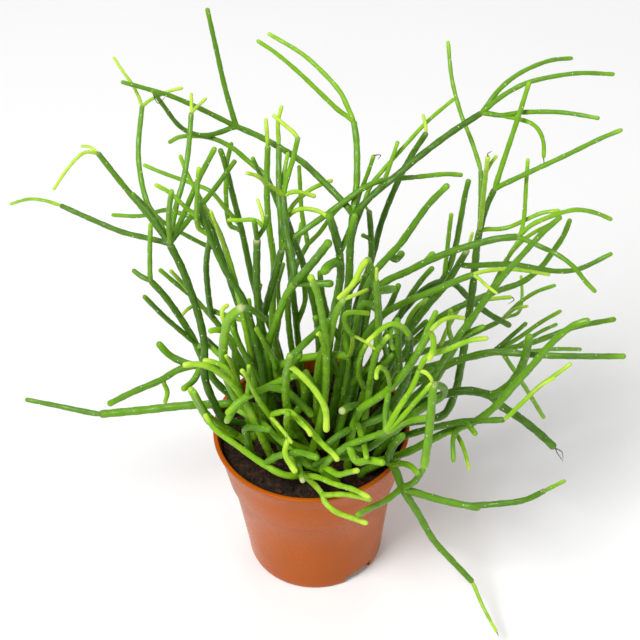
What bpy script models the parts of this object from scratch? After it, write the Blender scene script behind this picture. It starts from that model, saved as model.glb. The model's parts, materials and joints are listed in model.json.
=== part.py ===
# Mistletoe cactus in a plastic nursery pot.
# The origin is on the pot's axis at the surface it stands on, +Z up, +Y away from the viewer.
import bpy
import bmesh
import math
import numpy as np
from mathutils import Vector

MM = 0.001

# Pot, in millimetres
POT_HEIGHT = 106.0
RIM_RADIUS = 60.0
LIP_HEIGHT = 2.4
LIP_PROUD = 1.2
COLLAR_LOW_Z = 69.0
COLLAR_LOW_RADIUS = 52.4
STEP_RADIUS = 50.4
BASE_RADIUS = 42.0
WALL = 1.5
FOOT_WIDTH = 5.0
FOOT_HEIGHT = 6.5
NOTCH_WIDTH = 20.0
NOTCH_COUNT = 2
FIRST_NOTCH_ANGLE = math.radians(-52.0)
DRAIN_RADIUS = 4.0
DRAIN_CIRCLE = 22.0
DRAIN_COUNT = 6
DRAIN_STEPS = 12
PAD_RADIUS = 6.0
ROUNDING = 0.5
POT_STEPS = 48

# Soil, in millimetres
SOIL_DEPTH_BELOW_RIM = 10.0
SOIL_MOUND = 3.0
SOIL_STEPS = 32
SOIL_Z = POT_HEIGHT - SOIL_DEPTH_BELOW_RIM
FIT_GAP = 0.35
SOCKET_DEPTH = 8.0
SOCKET_REACH = 20.0

# Shoots, in millimetres
TUBE_RESOLUTION = 1
CHORD_ERROR = 0.4
LONGEST_PIECE = 34.0
TIP_TAPER = 0.8
JOINT_OVERLAP = 1.1
ROOT_LEAD = 40.0
ROOT_RISE = 4.0
UPRIGHT = 0.8
ROOT_SPACING = 8.6
ROOT_LIMIT = 44.0
SPREAD_ROUNDS = 400
SPREAD_SHARE = 0.25
FINE_STEPS = 12

# Settling: stems of the plant never pass through each other
SAMPLE = 4.0
CLEARANCE = 0.9
REACH = 34.0
SMOOTH_REACH = 16.0
SMOOTH_SHARE = 0.35
SMOOTH_ROUNDS = 200
NEAR_PATH = 22.0
NEAR_REACH = 16.0
DEEPEST_PUSH = 10.0
HARDLY_FREE = 0.05
ROUNDS = 300
REFRESH = 12
RELAX = 0.4
SIDEWAYS = 0.5
FIXED_LENGTH = 3.0
FREE_LENGTH = 26.0

# The place from which the plant was looked at. Stem routes below are points on that view, 640 wide and
# 640 high, and each stem's depth says how far behind (+) or before (-) the pot's axis its end lies.
EYE = np.array((0.0, -803.7, 984.1))
EYE_YAW = math.radians(0.54)
EYE_PITCH = math.radians(44.44)
EYE_ROLL = math.radians(-2.02)
EYE_FOCUS = 1948.8
VIEW_CENTRE = 320.0

# Every shoot: its name, the point of the view where it leaves the soil, and its stems.
# Every stem: the stem that it grows from, the depth of its end, or of its first point and its end, its
# width at the start and at the end, its youth from 0 (old, dark) to 1 (new, pale), and the points of the
# view that it passes.
SHOOTS = (
    ("crown_shoot", (330, 428), (
        (None, 25, 5.2, 4.4, 0.05, ((338, 385), (346, 330), (349, 285), (350, 250), (353, 214))),
        (0, 92, 4.0, 3.5, 0.05, ((353, 214), (336, 196), (320, 180), (300, 162), (265, 141), (236, 128))),
        (1, 112, 3.3, 2.6, 0.25, ((236, 128), (225, 90), (217, 55), (207, 10))),
        (1, 86, 3.2, 2.5, 0.2, ((236, 128), (200, 110), (170, 97), (150, 91), (121, 83))),
        (1, 70, 3.2, 2.4, 0.2, ((236, 128), (222, 134), (205, 138), (190, 135), (178, 127),
                                (165, 110), (152, 92))),
        (0, 62, 4.0, 3.6, 0.35, ((353, 214), (357, 184), (357, 143), (354, 120))),
        (5, 88, 3.0, 2.3, 0.6, ((354, 120), (340, 111), (325, 97), (300, 73), (275, 52), (257, 40))),
        (5, 108, 3.0, 2.3, 0.6, ((354, 120), (348, 107), (340, 91), (318, 67), (300, 52), (268, 33))),
        (0, 60, 4.0, 3.6, 0.0, ((353, 214), (371, 194), (389, 179), (418, 155), (450, 131), (481, 111))),
        (8, 96, 3.0, 2.4, 0.35, ((481, 111), (490, 98), (500, 86), (515, 74), (530, 66), (550, 59),
                                 (571, 57))),
        (8, 64, 3.0, 2.4, 0.35, ((481, 111), (495, 99), (510, 89), (530, 80), (575, 72), (613, 73))),
        (8, 30, 3.0, 2.3, 0.4, ((481, 111), (500, 114), (520, 111), (560, 111), (598, 117))),
        (11, 34, 2.7, 2.3, 0.6, ((500, 114), (518, 118), (530, 122), (538, 130), (542, 142), (542, 157))),
        (0, 4, 4.2, 3.6, 0.1, ((340, 374), (328, 352), (320, 334), (315, 316))),
    )),
    ("left_fan_shoot", (256, 430), (
        (None, (-6, 22), 5.0, 4.4, 0.0, ((224, 418), (213, 398), (206, 376), (206, 345), (201, 318),
                                         (194, 296), (184, 269), (171, 243))),
        (0, 54, 3.4, 3.0, 0.1, ((171, 242), (150, 238), (125, 232), (100, 222), (62, 205))),
        (1, 76, 2.2, 1.8, 0.75, ((62, 205), (45, 200), (30, 199), (12, 204))),
        (0, 50, 3.6, 3.2, 0.1, ((171, 242), (150, 215), (125, 185), (99, 152))),
        (3, 36, 2.2, 1.7, 0.85, ((99, 152), (85, 153), (70, 168), (55, 190))),
        (3, 62, 1.9, 1.6, 0.95, ((99, 152), (92, 147), (83, 146))),
        (0, 88, 3.4, 2.9, 0.4, ((171, 242), (160, 220), (150, 205), (143, 180), (140, 150), (144, 105))),
        (6, 104, 2.1, 1.7, 0.8, ((144, 105), (135, 86), (125, 72), (115, 57))),
        (6, 92, 2.1, 1.8, 0.8, ((144, 105), (158, 97), (172, 91), (185, 88))),
        (0, 72, 3.4, 2.9, 0.3, ((171, 242), (178, 205), (185, 180), (190, 150), (193, 112))),
        (9, 84, 2.2, 1.8, 0.85, ((193, 112), (193, 93))),
        (9, 66, 2.1, 1.8, 0.85, ((193, 112), (208, 98))),
        (0, 34, 3.4, 3.0, 0.35, ((171, 242), (185, 215), (200, 180), (217, 147))),
        (0, 6, 3.4, 3.1, 0.45, ((171, 242), (170, 215), (173, 190))),
        (0, 80, 3.2, 2.9, 0.3, ((171, 242), (190, 220), (215, 190), (237, 160))),
        (0, 10, 2.9, 2.6, 0.15, ((171, 242), (152, 212), (134, 193))),
    )),
    ("twin_shoot", (276, 418), (
        (None, 12, 5.0, 4.3, 0.05, ((252, 378), (246, 345), (256, 315), (265, 285), (275, 247))),
        (0, 55, 3.6, 3.2, 0.2, ((275, 247), (274, 220), (272, 192), (272, 141))),
        (1, 60, 2.7, 2.2, 0.8, ((272, 141), (271, 120), (275, 103))),
        (0, 40, 3.8, 3.0, 0.3, ((275, 247), (290, 236), (320, 216), (340, 202), (361, 188),
                                (380, 181), (412, 178))),
        (3, 46, 2.9, 2.6, 0.35, ((412, 178), (442, 175), (459, 176))),
        (0, 14, 3.6, 3.2, 0.2, ((250, 370), (240, 350), (233, 334), (230, 318))),
    )),
    ("silver_shoot", (292, 402), (
        (None, 62, 4.6, 3.4, 0.4, ((282, 372), (273, 330), (273, 300), (274, 262), (269, 225),
                                   (267, 190), (268, 145))),
        (0, 70, 2.6, 2.2, 0.85, ((268, 145), (266, 118))),
        (0, 60, 3.2, 2.8, 0.3, ((273, 318), (284, 306), (296, 292))),
    )),
    ("joined_shoot", (278, 436), (
        (None, -16, 5.2, 4.6, 0.4, ((266, 392), (262, 350), (270, 325), (280, 300), (289, 286))),
        (0, 20, 4.3, 3.6, 0.1, ((289, 286), (286, 262), (280, 235), (277, 197))),
        (1, 36, 3.3, 2.9, 0.5, ((277, 197), (281, 180), (287, 160), (292, 138))),
        (2, 44, 2.6, 2.1, 0.9, ((292, 138), (280, 128), (266, 116))),
        (1, 8, 2.8, 2.2, 0.8, ((277, 197), (262, 187), (250, 178), (239, 175))),
        (1, 22, 2.8, 2.4, 0.8, ((277, 197), (290, 194), (310, 199))),
        (0, -34, 4.8, 4.6, 0.25, ((289, 286), (297, 277), (310, 262), (324, 244))),
        (0, -20, 4.4, 4.4, 0.2, ((289, 286), (302, 287), (328, 287))),
        (0, -30, 4.4, 4.0, 0.15, ((267, 396), (278, 384), (287, 370), (297, 356))),
    )),
    ("bright_fork_shoot", (306, 412), (
        (None, 30, 4.8, 3.8, 0.1, ((318, 370), (317, 320), (303, 264), (293, 238), (286, 217))),
        (0, 20, 2.9, 2.4, 0.75, ((286, 217), (300, 209), (318, 211), (331, 219))),
        (0, 48, 2.8, 2.4, 0.75, ((286, 217), (294, 203), (310, 189), (322, 183), (333, 179))),
        (0, 54, 2.7, 2.3, 0.6, ((286, 217), (281, 203), (283, 180), (288, 152))),
    )),
    ("slim_fork_shoot", (300, 394), (
        (None, 50, 4.4, 3.2, 0.3, ((292, 350), (288, 300), (296, 266), (308, 244))),
        (0, 74, 2.9, 2.4, 0.5, ((308, 244), (302, 214), (300, 184), (299, 165))),
        (0, 58, 2.9, 2.5, 0.4, ((308, 244), (320, 232), (333, 214), (346, 202))),
    )),
    ("top_spray_shoot", (388, 438), (
        (None, (-4, 14), 5.2, 4.2, 0.05, ((404, 424), (428, 420), (444, 415), (455, 392), (460, 368),
                                          (465, 338),
                                    (469, 310), (473, 280), (476, 248), (479, 231))),
        (0, 20, 4.0, 3.4, 0.05, ((479, 231), (485, 210), (494, 190))),
        (1, 48, 3.2, 2.6, 0.45, ((494, 190), (500, 171), (508, 147), (519, 114), (529, 82))),
        (1, 16, 3.1, 2.5, 0.3, ((494, 190), (526, 175), (565, 157), (600, 140), (622, 131))),
        (0, 44, 3.1, 2.8, 0.3, ((479, 231), (480, 204), (480, 171))),
        (4, 100, 2.7, 2.3, 0.5, ((480, 171), (471, 143), (460, 115), (451, 80), (447, 42))),
        (0, -6, 2.9, 2.6, 0.75, ((479, 231), (482, 204), (485, 175), (487, 158))),
        (6, -2, 2.2, 2.0, 0.75, ((485, 172), (490, 165), (496, 157))),
        (0, 12, 2.7, 2.3, 0.65, ((479, 231), (504, 230), (524, 222), (540, 215), (559, 212))),
    )),
    ("right_arch_shoot", (342, 446), (
        (None, -22, 5.0, 3.8, 0.15, ((352, 392), (358, 340), (368, 294), (384, 281), (402, 273), (426, 261),
                                     (451, 251), (475, 244), (495, 239), (516, 237))),
        (0, -8, 2.8, 2.4, 0.6, ((516, 237), (528, 226), (540, 220), (559, 213), (575, 210),
                                (593, 213), (610, 220))),
        (0, -52, 3.0, 2.5, 0.35, ((516, 237), (538, 247), (555, 255), (571, 267), (585, 284), (594, 293))),
        (0, -10, 3.8, 3.6, 0.3, ((424, 262), (431, 253))),
    )),
    ("right_light_shoot", (382, 424), (
        (None, 0, 4.8, 3.0, 0.5, ((405, 410), (432, 386), (455, 350), (479, 312), (496, 286), (510, 259))),
        (0, 30, 2.6, 2.3, 0.6, ((510, 259), (521, 241), (526, 220), (528, 190), (530, 160))),
        (0, -14, 2.6, 2.2, 0.55, ((510, 259), (518, 249), (532, 237), (553, 226))),
        (0, -4, 3.2, 2.8, 0.5, ((455, 350), (450, 330), (452, 310))),
    )),
    ("right_straight_shoot", (356, 452), (
        (None, -38, 4.8, 3.0, 0.25, ((390, 418), (425, 392), (455, 350), (476, 320), (504, 280), (524, 257),
                                     (544, 235), (563, 218))),
        (0, -26, 3.4, 2.9, 0.35, ((455, 350), (470, 336), (488, 328))),
    )),
    ("right_curved_shoot", (362, 410), (
        (None, 30, 4.8, 3.1, 0.3, ((384, 384), (404, 352), (440, 316), (472, 300), (500, 289), (522, 281),
                                   (540, 267), (553, 250), (563, 235), (570, 218))),
        (0, 8, 3.4, 3.0, 0.2, ((393, 370), (392, 350), (386, 330))),
    )),
    ("right_dark_shoot", (352, 424), (
        (None, -4, 5.0, 3.8, 0.1, ((378, 384), (405, 336), (428, 305), (443, 288), (456, 268), (467, 250))),
        (0, -8, 2.4, 1.9, 0.95, ((467, 250), (472, 233))),
        (0, 6, 3.5, 2.7, 0.25, ((459, 263), (489, 261), (510, 260), (534, 264), (555, 267),
                                (577, 265), (611, 249))),
        (0, 12, 3.0, 2.6, 0.55, ((404, 338), (407, 322), (416, 308), (428, 299))),
        (0, -16, 3.6, 3.0, 0.35, ((381, 379), (386, 358), (381, 338))),
    )),
    ("right_bright_shoot", (338, 458), (
        (None, -34, 4.8, 3.6, 0.3, ((346, 390), (356, 345), (374, 318), (400, 302), (430, 290),
                                    (455, 279), (471, 273))),
        (0, -28, 2.6, 1.9, 0.85, ((471, 273), (483, 270), (504, 268), (524, 270), (548, 274))),
        (0, -44, 2.2, 1.7, 0.9, ((471, 273), (483, 284), (495, 293))),
        (0, -36, 4.0, 3.4, 0.3, ((347, 386), (360, 374), (373, 366), (386, 364))),
    )),
    ("right_droop_shoot", (350, 402), (
        (None, 36, 4.6, 3.6, 0.0, ((372, 360), (398, 318), (424, 290), (444, 282), (455, 286), (470, 301),
                                   (490, 316), (510, 327))),
        (0, 24, 3.6, 3.2, 0.2, ((398, 318), (408, 300), (422, 280), (433, 268))),
        (0, 30, 3.2, 2.8, 0.3, ((378, 350), (392, 338), (410, 330))),
    )),
    ("straight_back_shoot", (340, 396), (
        (None, 66, 4.4, 3.4, 0.1, ((346, 350), (358, 300), (373, 255), (381, 224), (395, 188),
                                   (410, 158), (427, 132))),
        (0, 74, 2.2, 1.8, 0.9, ((427, 132), (423, 114))),
    )),
    ("thin_pair_shoot", (330, 396), (
        (None, 40, 4.2, 3.2, 0.3, ((336, 350), (345, 300), (348, 262), (352, 232), (362, 204))),
        (0, 82, 2.7, 2.2, 0.6, ((362, 204), (370, 187), (384, 170), (401, 151), (425, 125), (453, 101))),
        (0, 60, 2.7, 2.3, 0.5, ((362, 204), (376, 190), (383, 178), (389, 161), (395, 143))),
        (0, 30, 2.6, 2.4, 0.5, ((352, 232), (356, 200), (365, 175), (371, 157))),
        (0, 24, 3.6, 3.2, 0.15, ((338, 340), (328, 318), (322, 296), (319, 272))),
        (0, 30, 3.2, 2.8, 0.3, ((345, 300), (354, 286), (366, 276))),
    )),
    ("olive_stub_shoot", (322, 440), (
        (None, -20, 5.2, 4.4, 0.1, ((330, 380), (340, 320), (347, 280), (346, 254))),
        (0, -24, 4.6, 4.6, 0.0, ((346, 254), (341, 235), (335, 216))),
        (0, -12, 3.6, 3.2, 0.3, ((346, 254), (355, 235), (362, 215))),
        (0, -34, 5.4, 5.0, 0.25, ((346, 262), (337, 266), (329, 275))),
    )),
    ("inner_tall_shoot", (342, 410), (
        (None, 44, 4.6, 3.4, 0.15, ((356, 360), (366, 310), (371, 262), (371, 235), (369, 210))),
        (0, 50, 2.2, 1.8, 0.85, ((369, 210), (362, 203))),
        (0, 36, 2.6, 2.6, 0.2, ((371, 240), (362, 235))),
        (0, 20, 3.8, 3.4, 0.1, ((360, 345), (378, 322), (390, 305), (399, 284))),
    )),
    ("diagonal_shoot", (334, 452), (
        (None, -14, 5.0, 3.4, 0.25, ((344, 400), (352, 350), (362, 300), (375, 273), (387, 259), (402, 243),
                                     (418, 220), (430, 204), (449, 185))),
        (0, -6, 2.9, 2.5, 0.6, ((395, 250), (408, 232), (418, 218))),
        (0, -4, 4.2, 4.2, 0.15, ((389, 258), (397, 260), (403, 252))),
    )),
    ("upright_pair_shoot", (364, 396), (
        (None, 44, 4.6, 3.2, 0.2, ((390, 350), (418, 310), (444, 275), (453, 249), (458, 224),
                                   (463, 196), (467, 180))),
        (0, 36, 2.9, 2.6, 0.5, ((444, 275), (446, 249), (448, 230), (450, 214))),
        (0, 20, 3.6, 3.0, 0.15, ((387, 355), (400, 346), (414, 334), (428, 322))),
    )),
    ("left_long_shoot", (262, 420), (
        (None, 14, 4.8, 3.8, 0.1, ((236, 402), (214, 384), (202, 366), (192, 346), (175, 320),
                                   (161, 300), (147, 285))),
        (0, 12, 3.0, 2.7, 0.5, ((147, 285), (147, 255), (148, 228))),
        (0, 20, 3.2, 2.9, 0.15, ((147, 285), (138, 281), (129, 274))),
        (0, 4, 3.2, 3.0, 0.1, ((190, 348), (176, 332), (160, 318), (141, 299))),
        (0, -12, 3.4, 3.0, 0.5, ((194, 349), (205, 349), (215, 358), (225, 366))),
    )),
    ("left_spray_shoot", (266, 408), (
        (None, 40, 4.8, 3.6, 0.2, ((244, 372), (228, 345), (214, 325), (200, 310))),
        (0, 44, 3.2, 2.8, 0.2, ((200, 310), (190, 300), (175, 288), (155, 271))),
        (0, 34, 2.9, 2.5, 0.75, ((200, 310), (188, 297), (178, 285), (166, 272))),
        (0, 30, 2.4, 2.0, 0.7, ((200, 310), (190, 308), (183, 312), (177, 319))),
        (0, 20, 3.8, 3.4, 0.2, ((208, 320), (205, 295), (203, 265), (208, 233))),
        (0, 10, 3.4, 3.0, 0.5, ((200, 311), (215, 316), (235, 322), (247, 326))),
        (0, 8, 3.8, 3.4, 0.2, ((245, 374), (228, 366), (213, 355), (199, 343))),
    )),
    ("left_lattice_shoot", (280, 400), (
        (None, 66, 4.6, 3.4, 0.15, ((262, 345), (240, 300), (226, 260), (216, 232), (208, 205))),
        (0, 84, 2.9, 2.4, 0.4, ((216, 232), (200, 217), (184, 211), (169, 207), (143, 213), (114, 212))),
        (0, 78, 2.8, 2.3, 0.6, ((208, 205), (196, 184), (188, 168), (182, 152))),
        (0, 60, 2.8, 2.3, 0.4, ((222, 246), (210, 243), (188, 232), (167, 220), (151, 206), (135, 193))),
        (0, 58, 3.4, 3.0, 0.25, ((262, 345), (262, 320), (258, 300), (262, 280))),
        (0, 50, 3.4, 3.0, 0.3, ((261, 342), (252, 318), (250, 296))),
    )),
    ("left_lattice_back_shoot", (288, 392), (
        (None, 80, 4.4, 3.4, 0.1, ((276, 340), (256, 290), (243, 231), (233, 190), (226, 160), (221, 146))),
        (0, 104, 2.9, 2.4, 0.45, ((240, 222), (226, 206), (212, 190), (196, 183), (163, 171), (144, 163))),
        (0, 92, 3.1, 2.6, 0.45, ((243, 231), (230, 224), (226, 194), (227, 163), (232, 141))),
        (0, 70, 3.4, 3.0, 0.2, ((276, 340), (280, 310), (278, 285), (284, 262))),
    )),
    ("long_arc_shoot", (300, 380), (
        (None, 72, 4.4, 3.4, 0.2, ((296, 330), (290, 280), (282, 220), (265, 175))),
        (0, 92, 3.2, 2.5, 0.4, ((265, 175), (245, 159), (231, 147), (212, 137), (194, 134),
                                (177, 135), (166, 141))),
        (0, 60, 3.0, 2.6, 0.4, ((272, 194), (262, 180), (251, 157))),
        (0, 58, 3.4, 3.0, 0.3, ((295, 325), (304, 300), (303, 280), (308, 262))),
        (0, 90, 3.0, 2.6, 0.5, ((288, 265), (297, 240), (300, 222))),
    )),
    ("left_yellow_shoot", (268, 442), (
        (None, 14, 4.6, 3.0, 0.6, ((258, 400), (250, 355), (243, 320), (235, 286), (226, 255),
                                   (216, 229), (202, 208))),
        (0, 0, 2.4, 2.0, 0.8, ((226, 255), (217, 232), (210, 213))),
    )),
    ("left_inner_shoot", (272, 452), (
        (None, 10, 4.8, 3.4, 0.1, ((268, 400), (262, 350), (250, 304), (232, 275), (217, 243),
                                   (209, 222), (202, 195))),
        (0, 16, 2.8, 2.4, 0.65, ((209, 222), (190, 208), (175, 194), (159, 185))),
        (0, 0, 3.0, 2.6, 0.5, ((214, 236), (203, 228), (202, 200), (204, 168))),
        (0, 2, 3.8, 3.2, 0.2, ((266, 386), (253, 364), (243, 346), (236, 330))),
    )),
    ("post_shoot", (296, 430), (
        (None, 2, 4.8, 4.2, 0.0, ((280, 380), (262, 330), (257, 290), (257, 240))),
        (0, -2, 3.2, 3.0, 0.1, ((257, 240), (254, 222))),
        (0, 8, 3.0, 2.6, 0.2, ((257, 240), (265, 228), (267, 216))),
        (2, 14, 2.7, 2.3, 0.65, ((265, 228), (255, 222), (240, 222), (227, 222))),
        (2, 16, 2.2, 1.9, 0.9, ((265, 228), (262, 215), (257, 200))),
    )),
    ("left_trail_shoot", (262, 412), (
        (None, (14, 8), 5.2, 5.0, 0.3, ((240, 404), (220, 405), (190, 406), (143, 411), (100, 415))),
        (0, 18, 3.8, 2.8, 0.25, ((100, 415), (80, 411), (61, 407), (26, 400))),
    )),
    ("left_low_shoot", (268, 400), (
        (None, 26, 4.8, 4.0, 0.3, ((244, 372), (216, 366), (196, 366), (180, 370), (163, 380),
                                   (133, 393), (109, 405))),
        (0, 22, 3.2, 2.8, 0.5, ((166, 379), (169, 392), (166, 404))),
        (0, 40, 4.6, 4.4, 0.2, ((196, 366), (180, 360), (170, 354), (159, 342))),
        (0, 8, 4.2, 3.8, 0.45, ((206, 366), (196, 380), (184, 390))),
    )),
    ("pale_arch_shoot", (282, 446), (
        (None, -34, 5.4, 5.2, 0.55, ((252, 420), (230, 392), (220, 362), (219, 335), (225, 313),
                                     (238, 302))),
        (0, -26, 4.2, 3.6, 0.1, ((238, 302), (250, 307), (262, 316))),
        (0, -20, 2.8, 2.4, 0.8, ((222, 325), (217, 305), (224, 300))),
    )),
    ("left_curl_shoot", (254, 440), (
        (None, -40, 4.6, 3.4, 0.6, ((243, 405), (237, 380), (236, 356), (228, 344), (220, 341),
                                    (211, 343))),
        (0, -36, 2.6, 2.2, 0.9, ((240, 392), (232, 372), (226, 361))),
    )),
    ("left_bow_shoot", (272, 462), (
        (None, (-34, -40), 5.0, 3.4, 0.7, ((262, 425), (243, 392), (225, 376), (210, 371), (193, 372))),
        (0, -34, 3.4, 2.8, 0.8, ((246, 397), (236, 377), (222, 370), (212, 369))),
    )),
    ("rim_left_shoot", (252, 446), (
        (None, (-10, -20), 4.8, 4.4, 0.6, ((240, 436), (216, 424), (204, 408), (193, 388))),
        (0, -26, 3.8, 3.4, 0.5, ((240, 436), (212, 419), (200, 402), (195, 392))),
    )),
    ("long_front_shoot", (312, 478), (
        (None, (-44, -22), 4.8, 3.2, 0.6, ((285, 474), (261, 461), (235, 442), (216, 428), (205, 412))),
        (0, -62, 4.4, 4.0, 0.35, ((262, 462), (278, 455), (297, 452), (317, 458))),
    )),
    ("front_cross_shoot", (338, 478), (
        (None, (-44, -20), 4.6, 3.4, 0.5, ((310, 468), (293, 455), (272, 437), (262, 427), (245, 418),
                                           (232, 411))),
        (0, -66, 3.8, 3.4, 0.4, ((294, 457), (297, 468), (301, 483))),
        (0, -58, 4.2, 3.8, 0.25, ((311, 468), (326, 462), (342, 459), (358, 461))),
    )),
    ("front_bow_shoot", (320, 462), (
        (None, -50, 4.6, 2.6, 0.7, ((285, 443), (265, 418), (250, 395), (241, 377), (236, 371))),
        (0, -56, 2.6, 2.2, 0.8, ((265, 418), (276, 430), (288, 446))),
        (0, -66, 3.6, 3.0, 0.75, ((268, 416), (285, 414), (295, 424), (303, 432), (307, 439))),
        (1, -66, 3.4, 3.8, 0.8, ((286, 443), (281, 455), (286, 466), (293, 476))),
    )),
    ("soil_dark_shoot", (262, 462), (
        (None, -44, 4.6, 4.2, 0.05, ((250, 452), (247, 436), (245, 430), (248, 427), (262, 428),
                                     (272, 429))),
    )),
    ("pale_cross_shoot", (298, 442), (
        (None, -46, 5.0, 4.4, 0.5, ((292, 425), (305, 400), (300, 378), (285, 382), (265, 391),
                                    (245, 400), (226, 417))),
        (0, -40, 4.2, 4.0, 0.5, ((245, 400), (234, 412), (226, 425))),
        (0, -30, 4.6, 4.2, 0.35, ((265, 391), (282, 394), (300, 406), (314, 421))),
        (0, -44, 3.0, 2.6, 0.6, ((248, 399), (249, 385), (249, 367))),
    )),
    ("bright_drop_shoot", (308, 452), (
        (None, -50, 4.8, 4.4, 0.45, ((292, 420), (287, 380), (292, 350))),
        (0, -66, 3.4, 3.8, 0.9, ((291, 360), (303, 371), (318, 388), (327, 405), (328, 428))),
        (0, -14, 4.2, 3.6, 0.25, ((292, 352), (308, 335), (325, 319), (340, 304))),
        (0, -74, 4.2, 3.2, 0.7, ((291, 412), (302, 418), (316, 433), (325, 443), (335, 452), (340, 459))),
        (0, -58, 4.4, 4.0, 0.4, ((299, 435), (290, 432), (286, 424), (287, 412))),
    )),
    ("pale_level_shoot", (318, 426), (
        (None, -30, 4.8, 4.4, 0.55, ((284, 398), (270, 378), (284, 370), (305, 368), (325, 367),
                                     (343, 369))),
        (0, -36, 3.4, 2.8, 0.4, ((343, 369), (341, 385), (336, 408))),
        (0, -44, 2.9, 2.6, 1.0, ((343, 369), (346, 358), (346, 346))),
        (2, -34, 3.4, 2.8, 0.6, ((346, 346), (340, 332), (341, 323), (352, 321), (366, 322))),
        (2, -50, 2.0, 1.5, 1.0, ((346, 346), (360, 353), (372, 362))),
        (0, -20, 3.8, 3.4, 0.35, ((343, 369), (339, 355), (337, 341))),
        (0, 0, 3.4, 3.0, 0.45, ((271, 377), (266, 360), (256, 342), (249, 330))),
    )),
    ("lime_tip_shoot", (326, 452), (
        (None, -58, 4.8, 3.8, 0.55, ((316, 405), (318, 360), (326, 345), (333, 318), (341, 303))),
        (0, -48, 2.4, 2.0, 0.95, ((341, 303), (352, 299), (366, 293))),
        (0, -40, 2.6, 2.2, 0.7, ((341, 303), (348, 291), (359, 281))),
    )),
    ("bright_post_shoot", (314, 466), (
        (None, -50, 4.8, 3.8, 0.5, ((322, 400), (325, 345), (321, 315), (316, 292), (309, 275))),
        (0, -56, 2.6, 2.2, 0.7, ((324, 352), (318, 330), (316, 333))),
        (0, -40, 4.2, 3.8, 0.25, ((321, 402), (313, 388), (303, 370))),
    )),
    ("pale_hook_shoot", (344, 460), (
        (None, -44, 5.0, 4.2, 0.35, ((356, 400), (366, 350), (366, 310), (362, 282), (355, 263))),
        (0, -70, 3.8, 2.4, 0.9, ((355, 263), (347, 277), (340, 290), (333, 297), (325, 304))),
        (0, -60, 4.6, 4.4, 0.45, ((354, 408), (345, 410), (335, 415))),
        (0, -26, 4.4, 4.2, 0.15, ((365, 314), (356, 309), (348, 313))),
        (0, -36, 3.4, 3.0, 0.6, ((357, 394), (351, 376), (352, 360), (359, 345))),
    )),
    ("lime_spike_shoot", (352, 462), (
        (None, -60, 4.6, 3.0, 0.4, ((366, 400), (372, 340), (371, 300), (371, 289))),
        (0, -62, 2.2, 1.8, 0.95, ((371, 289), (371, 277))),
        (0, -68, 3.4, 3.0, 0.55, ((366, 392), (372, 365), (378, 352), (386, 342))),
        (0, -44, 4.6, 4.6, 0.2, ((372, 302), (380, 299), (389, 298))),
        (0, -46, 3.6, 3.2, 0.2, ((367, 388), (380, 374), (390, 362))),
    )),
    ("arc_tip_shoot", (372, 446), (
        (None, -44, 5.0, 4.6, 0.0, ((392, 400), (404, 365), (405, 333))),
        (0, -60, 3.6, 2.6, 0.7, ((405, 333), (398, 325), (387, 322), (376, 328), (362, 341))),
        (0, -38, 4.0, 3.8, 0.25, ((397, 385), (395, 360), (394, 335), (393, 318))),
        (1, -54, 2.6, 2.4, 0.4, ((387, 322), (386, 335), (389, 348))),
        (0, -30, 4.0, 3.4, 0.2, ((398, 383), (412, 372), (430, 366))),
    )),
    ("broad_bright_shoot", (346, 470), (
        (None, -52, 5.0, 4.2, 0.55, ((352, 430), (360, 409), (376, 398), (392, 385), (407, 367),
                                     (419, 348), (430, 329))),
        (0, -40, 2.9, 2.3, 0.75, ((430, 329), (440, 320), (452, 316), (464, 317))),
        (0, -60, 3.6, 3.2, 0.7, ((430, 329), (433, 344), (428, 360))),
        (0, -76, 3.8, 3.2, 0.5, ((354, 424), (358, 438), (361, 450), (363, 461))),
        (0, -62, 2.8, 2.6, 0.75, ((391, 386), (386, 372), (379, 366), (376, 370), (376, 379))),
        (0, -30, 3.4, 3.0, 0.4, ((419, 349), (426, 330), (436, 309))),
        (0, -34, 4.8, 4.6, 0.1, ((353, 427), (366, 423), (380, 418), (392, 412))),
        (0, -44, 4.2, 3.8, 0.15, ((353, 427), (344, 432), (334, 438), (324, 447))),
    )),
    ("star_shoot", (338, 484), (
        (None, -72, 4.6, 3.6, 0.45, ((322, 470), (345, 448), (365, 440), (387, 432))),
        (0, -58, 3.8, 3.0, 0.7, ((387, 432), (400, 410), (414, 388), (421, 370))),
        (1, -48, 3.4, 2.8, 0.75, ((421, 370), (428, 358), (450, 350), (470, 342), (490, 339))),
        (0, -66, 4.6, 4.0, 0.45, ((387, 432), (405, 421), (430, 417))),
        (1, -64, 2.6, 2.2, 0.95, ((421, 370), (430, 376), (434, 384))),
        (0, -80, 3.8, 3.2, 0.6, ((326, 467), (337, 475), (348, 473), (358, 471))),
        (0, -80, 4.4, 4.2, 0.55, ((352, 446), (356, 462), (370, 461), (385, 464))),
        (0, -52, 3.8, 3.4, 0.3, ((387, 432), (386, 415), (389, 392))),
        (0, -62, 3.2, 2.8, 0.6, ((387, 432), (400, 421), (417, 402), (433, 384))),
        (0, -58, 4.2, 3.8, 0.1, ((352, 446), (368, 449), (384, 438), (401, 428))),
    )),
    ("hanging_shoot", (376, 462), (
        (None, -72, 4.8, 4.2, 0.1, ((404, 422), (426, 406), (442, 396), (444, 388), (434, 384))),
        (0, -84, 4.6, 4.8, 0.4, ((434, 384), (432, 398), (431, 412), (428, 440), (424, 468))),
    )),
    ("right_fan_shoot", (378, 464), (
        (None, (-32, -42), 5.0, 3.8, 0.3, ((397, 456), (414, 449), (446, 432), (473, 422), (493, 408),
                                           (516, 383), (534, 363),
                                    (546, 349), (561, 334), (578, 323), (590, 320))),
        (0, -62, 3.2, 2.8, 0.35, ((473, 422), (454, 434), (453, 462))),
        (0, -66, 3.0, 2.0, 0.65, ((448, 431), (456, 434), (464, 450), (469, 470))),
    )),
    ("right_dark_arch_shoot", (374, 442), (
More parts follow.
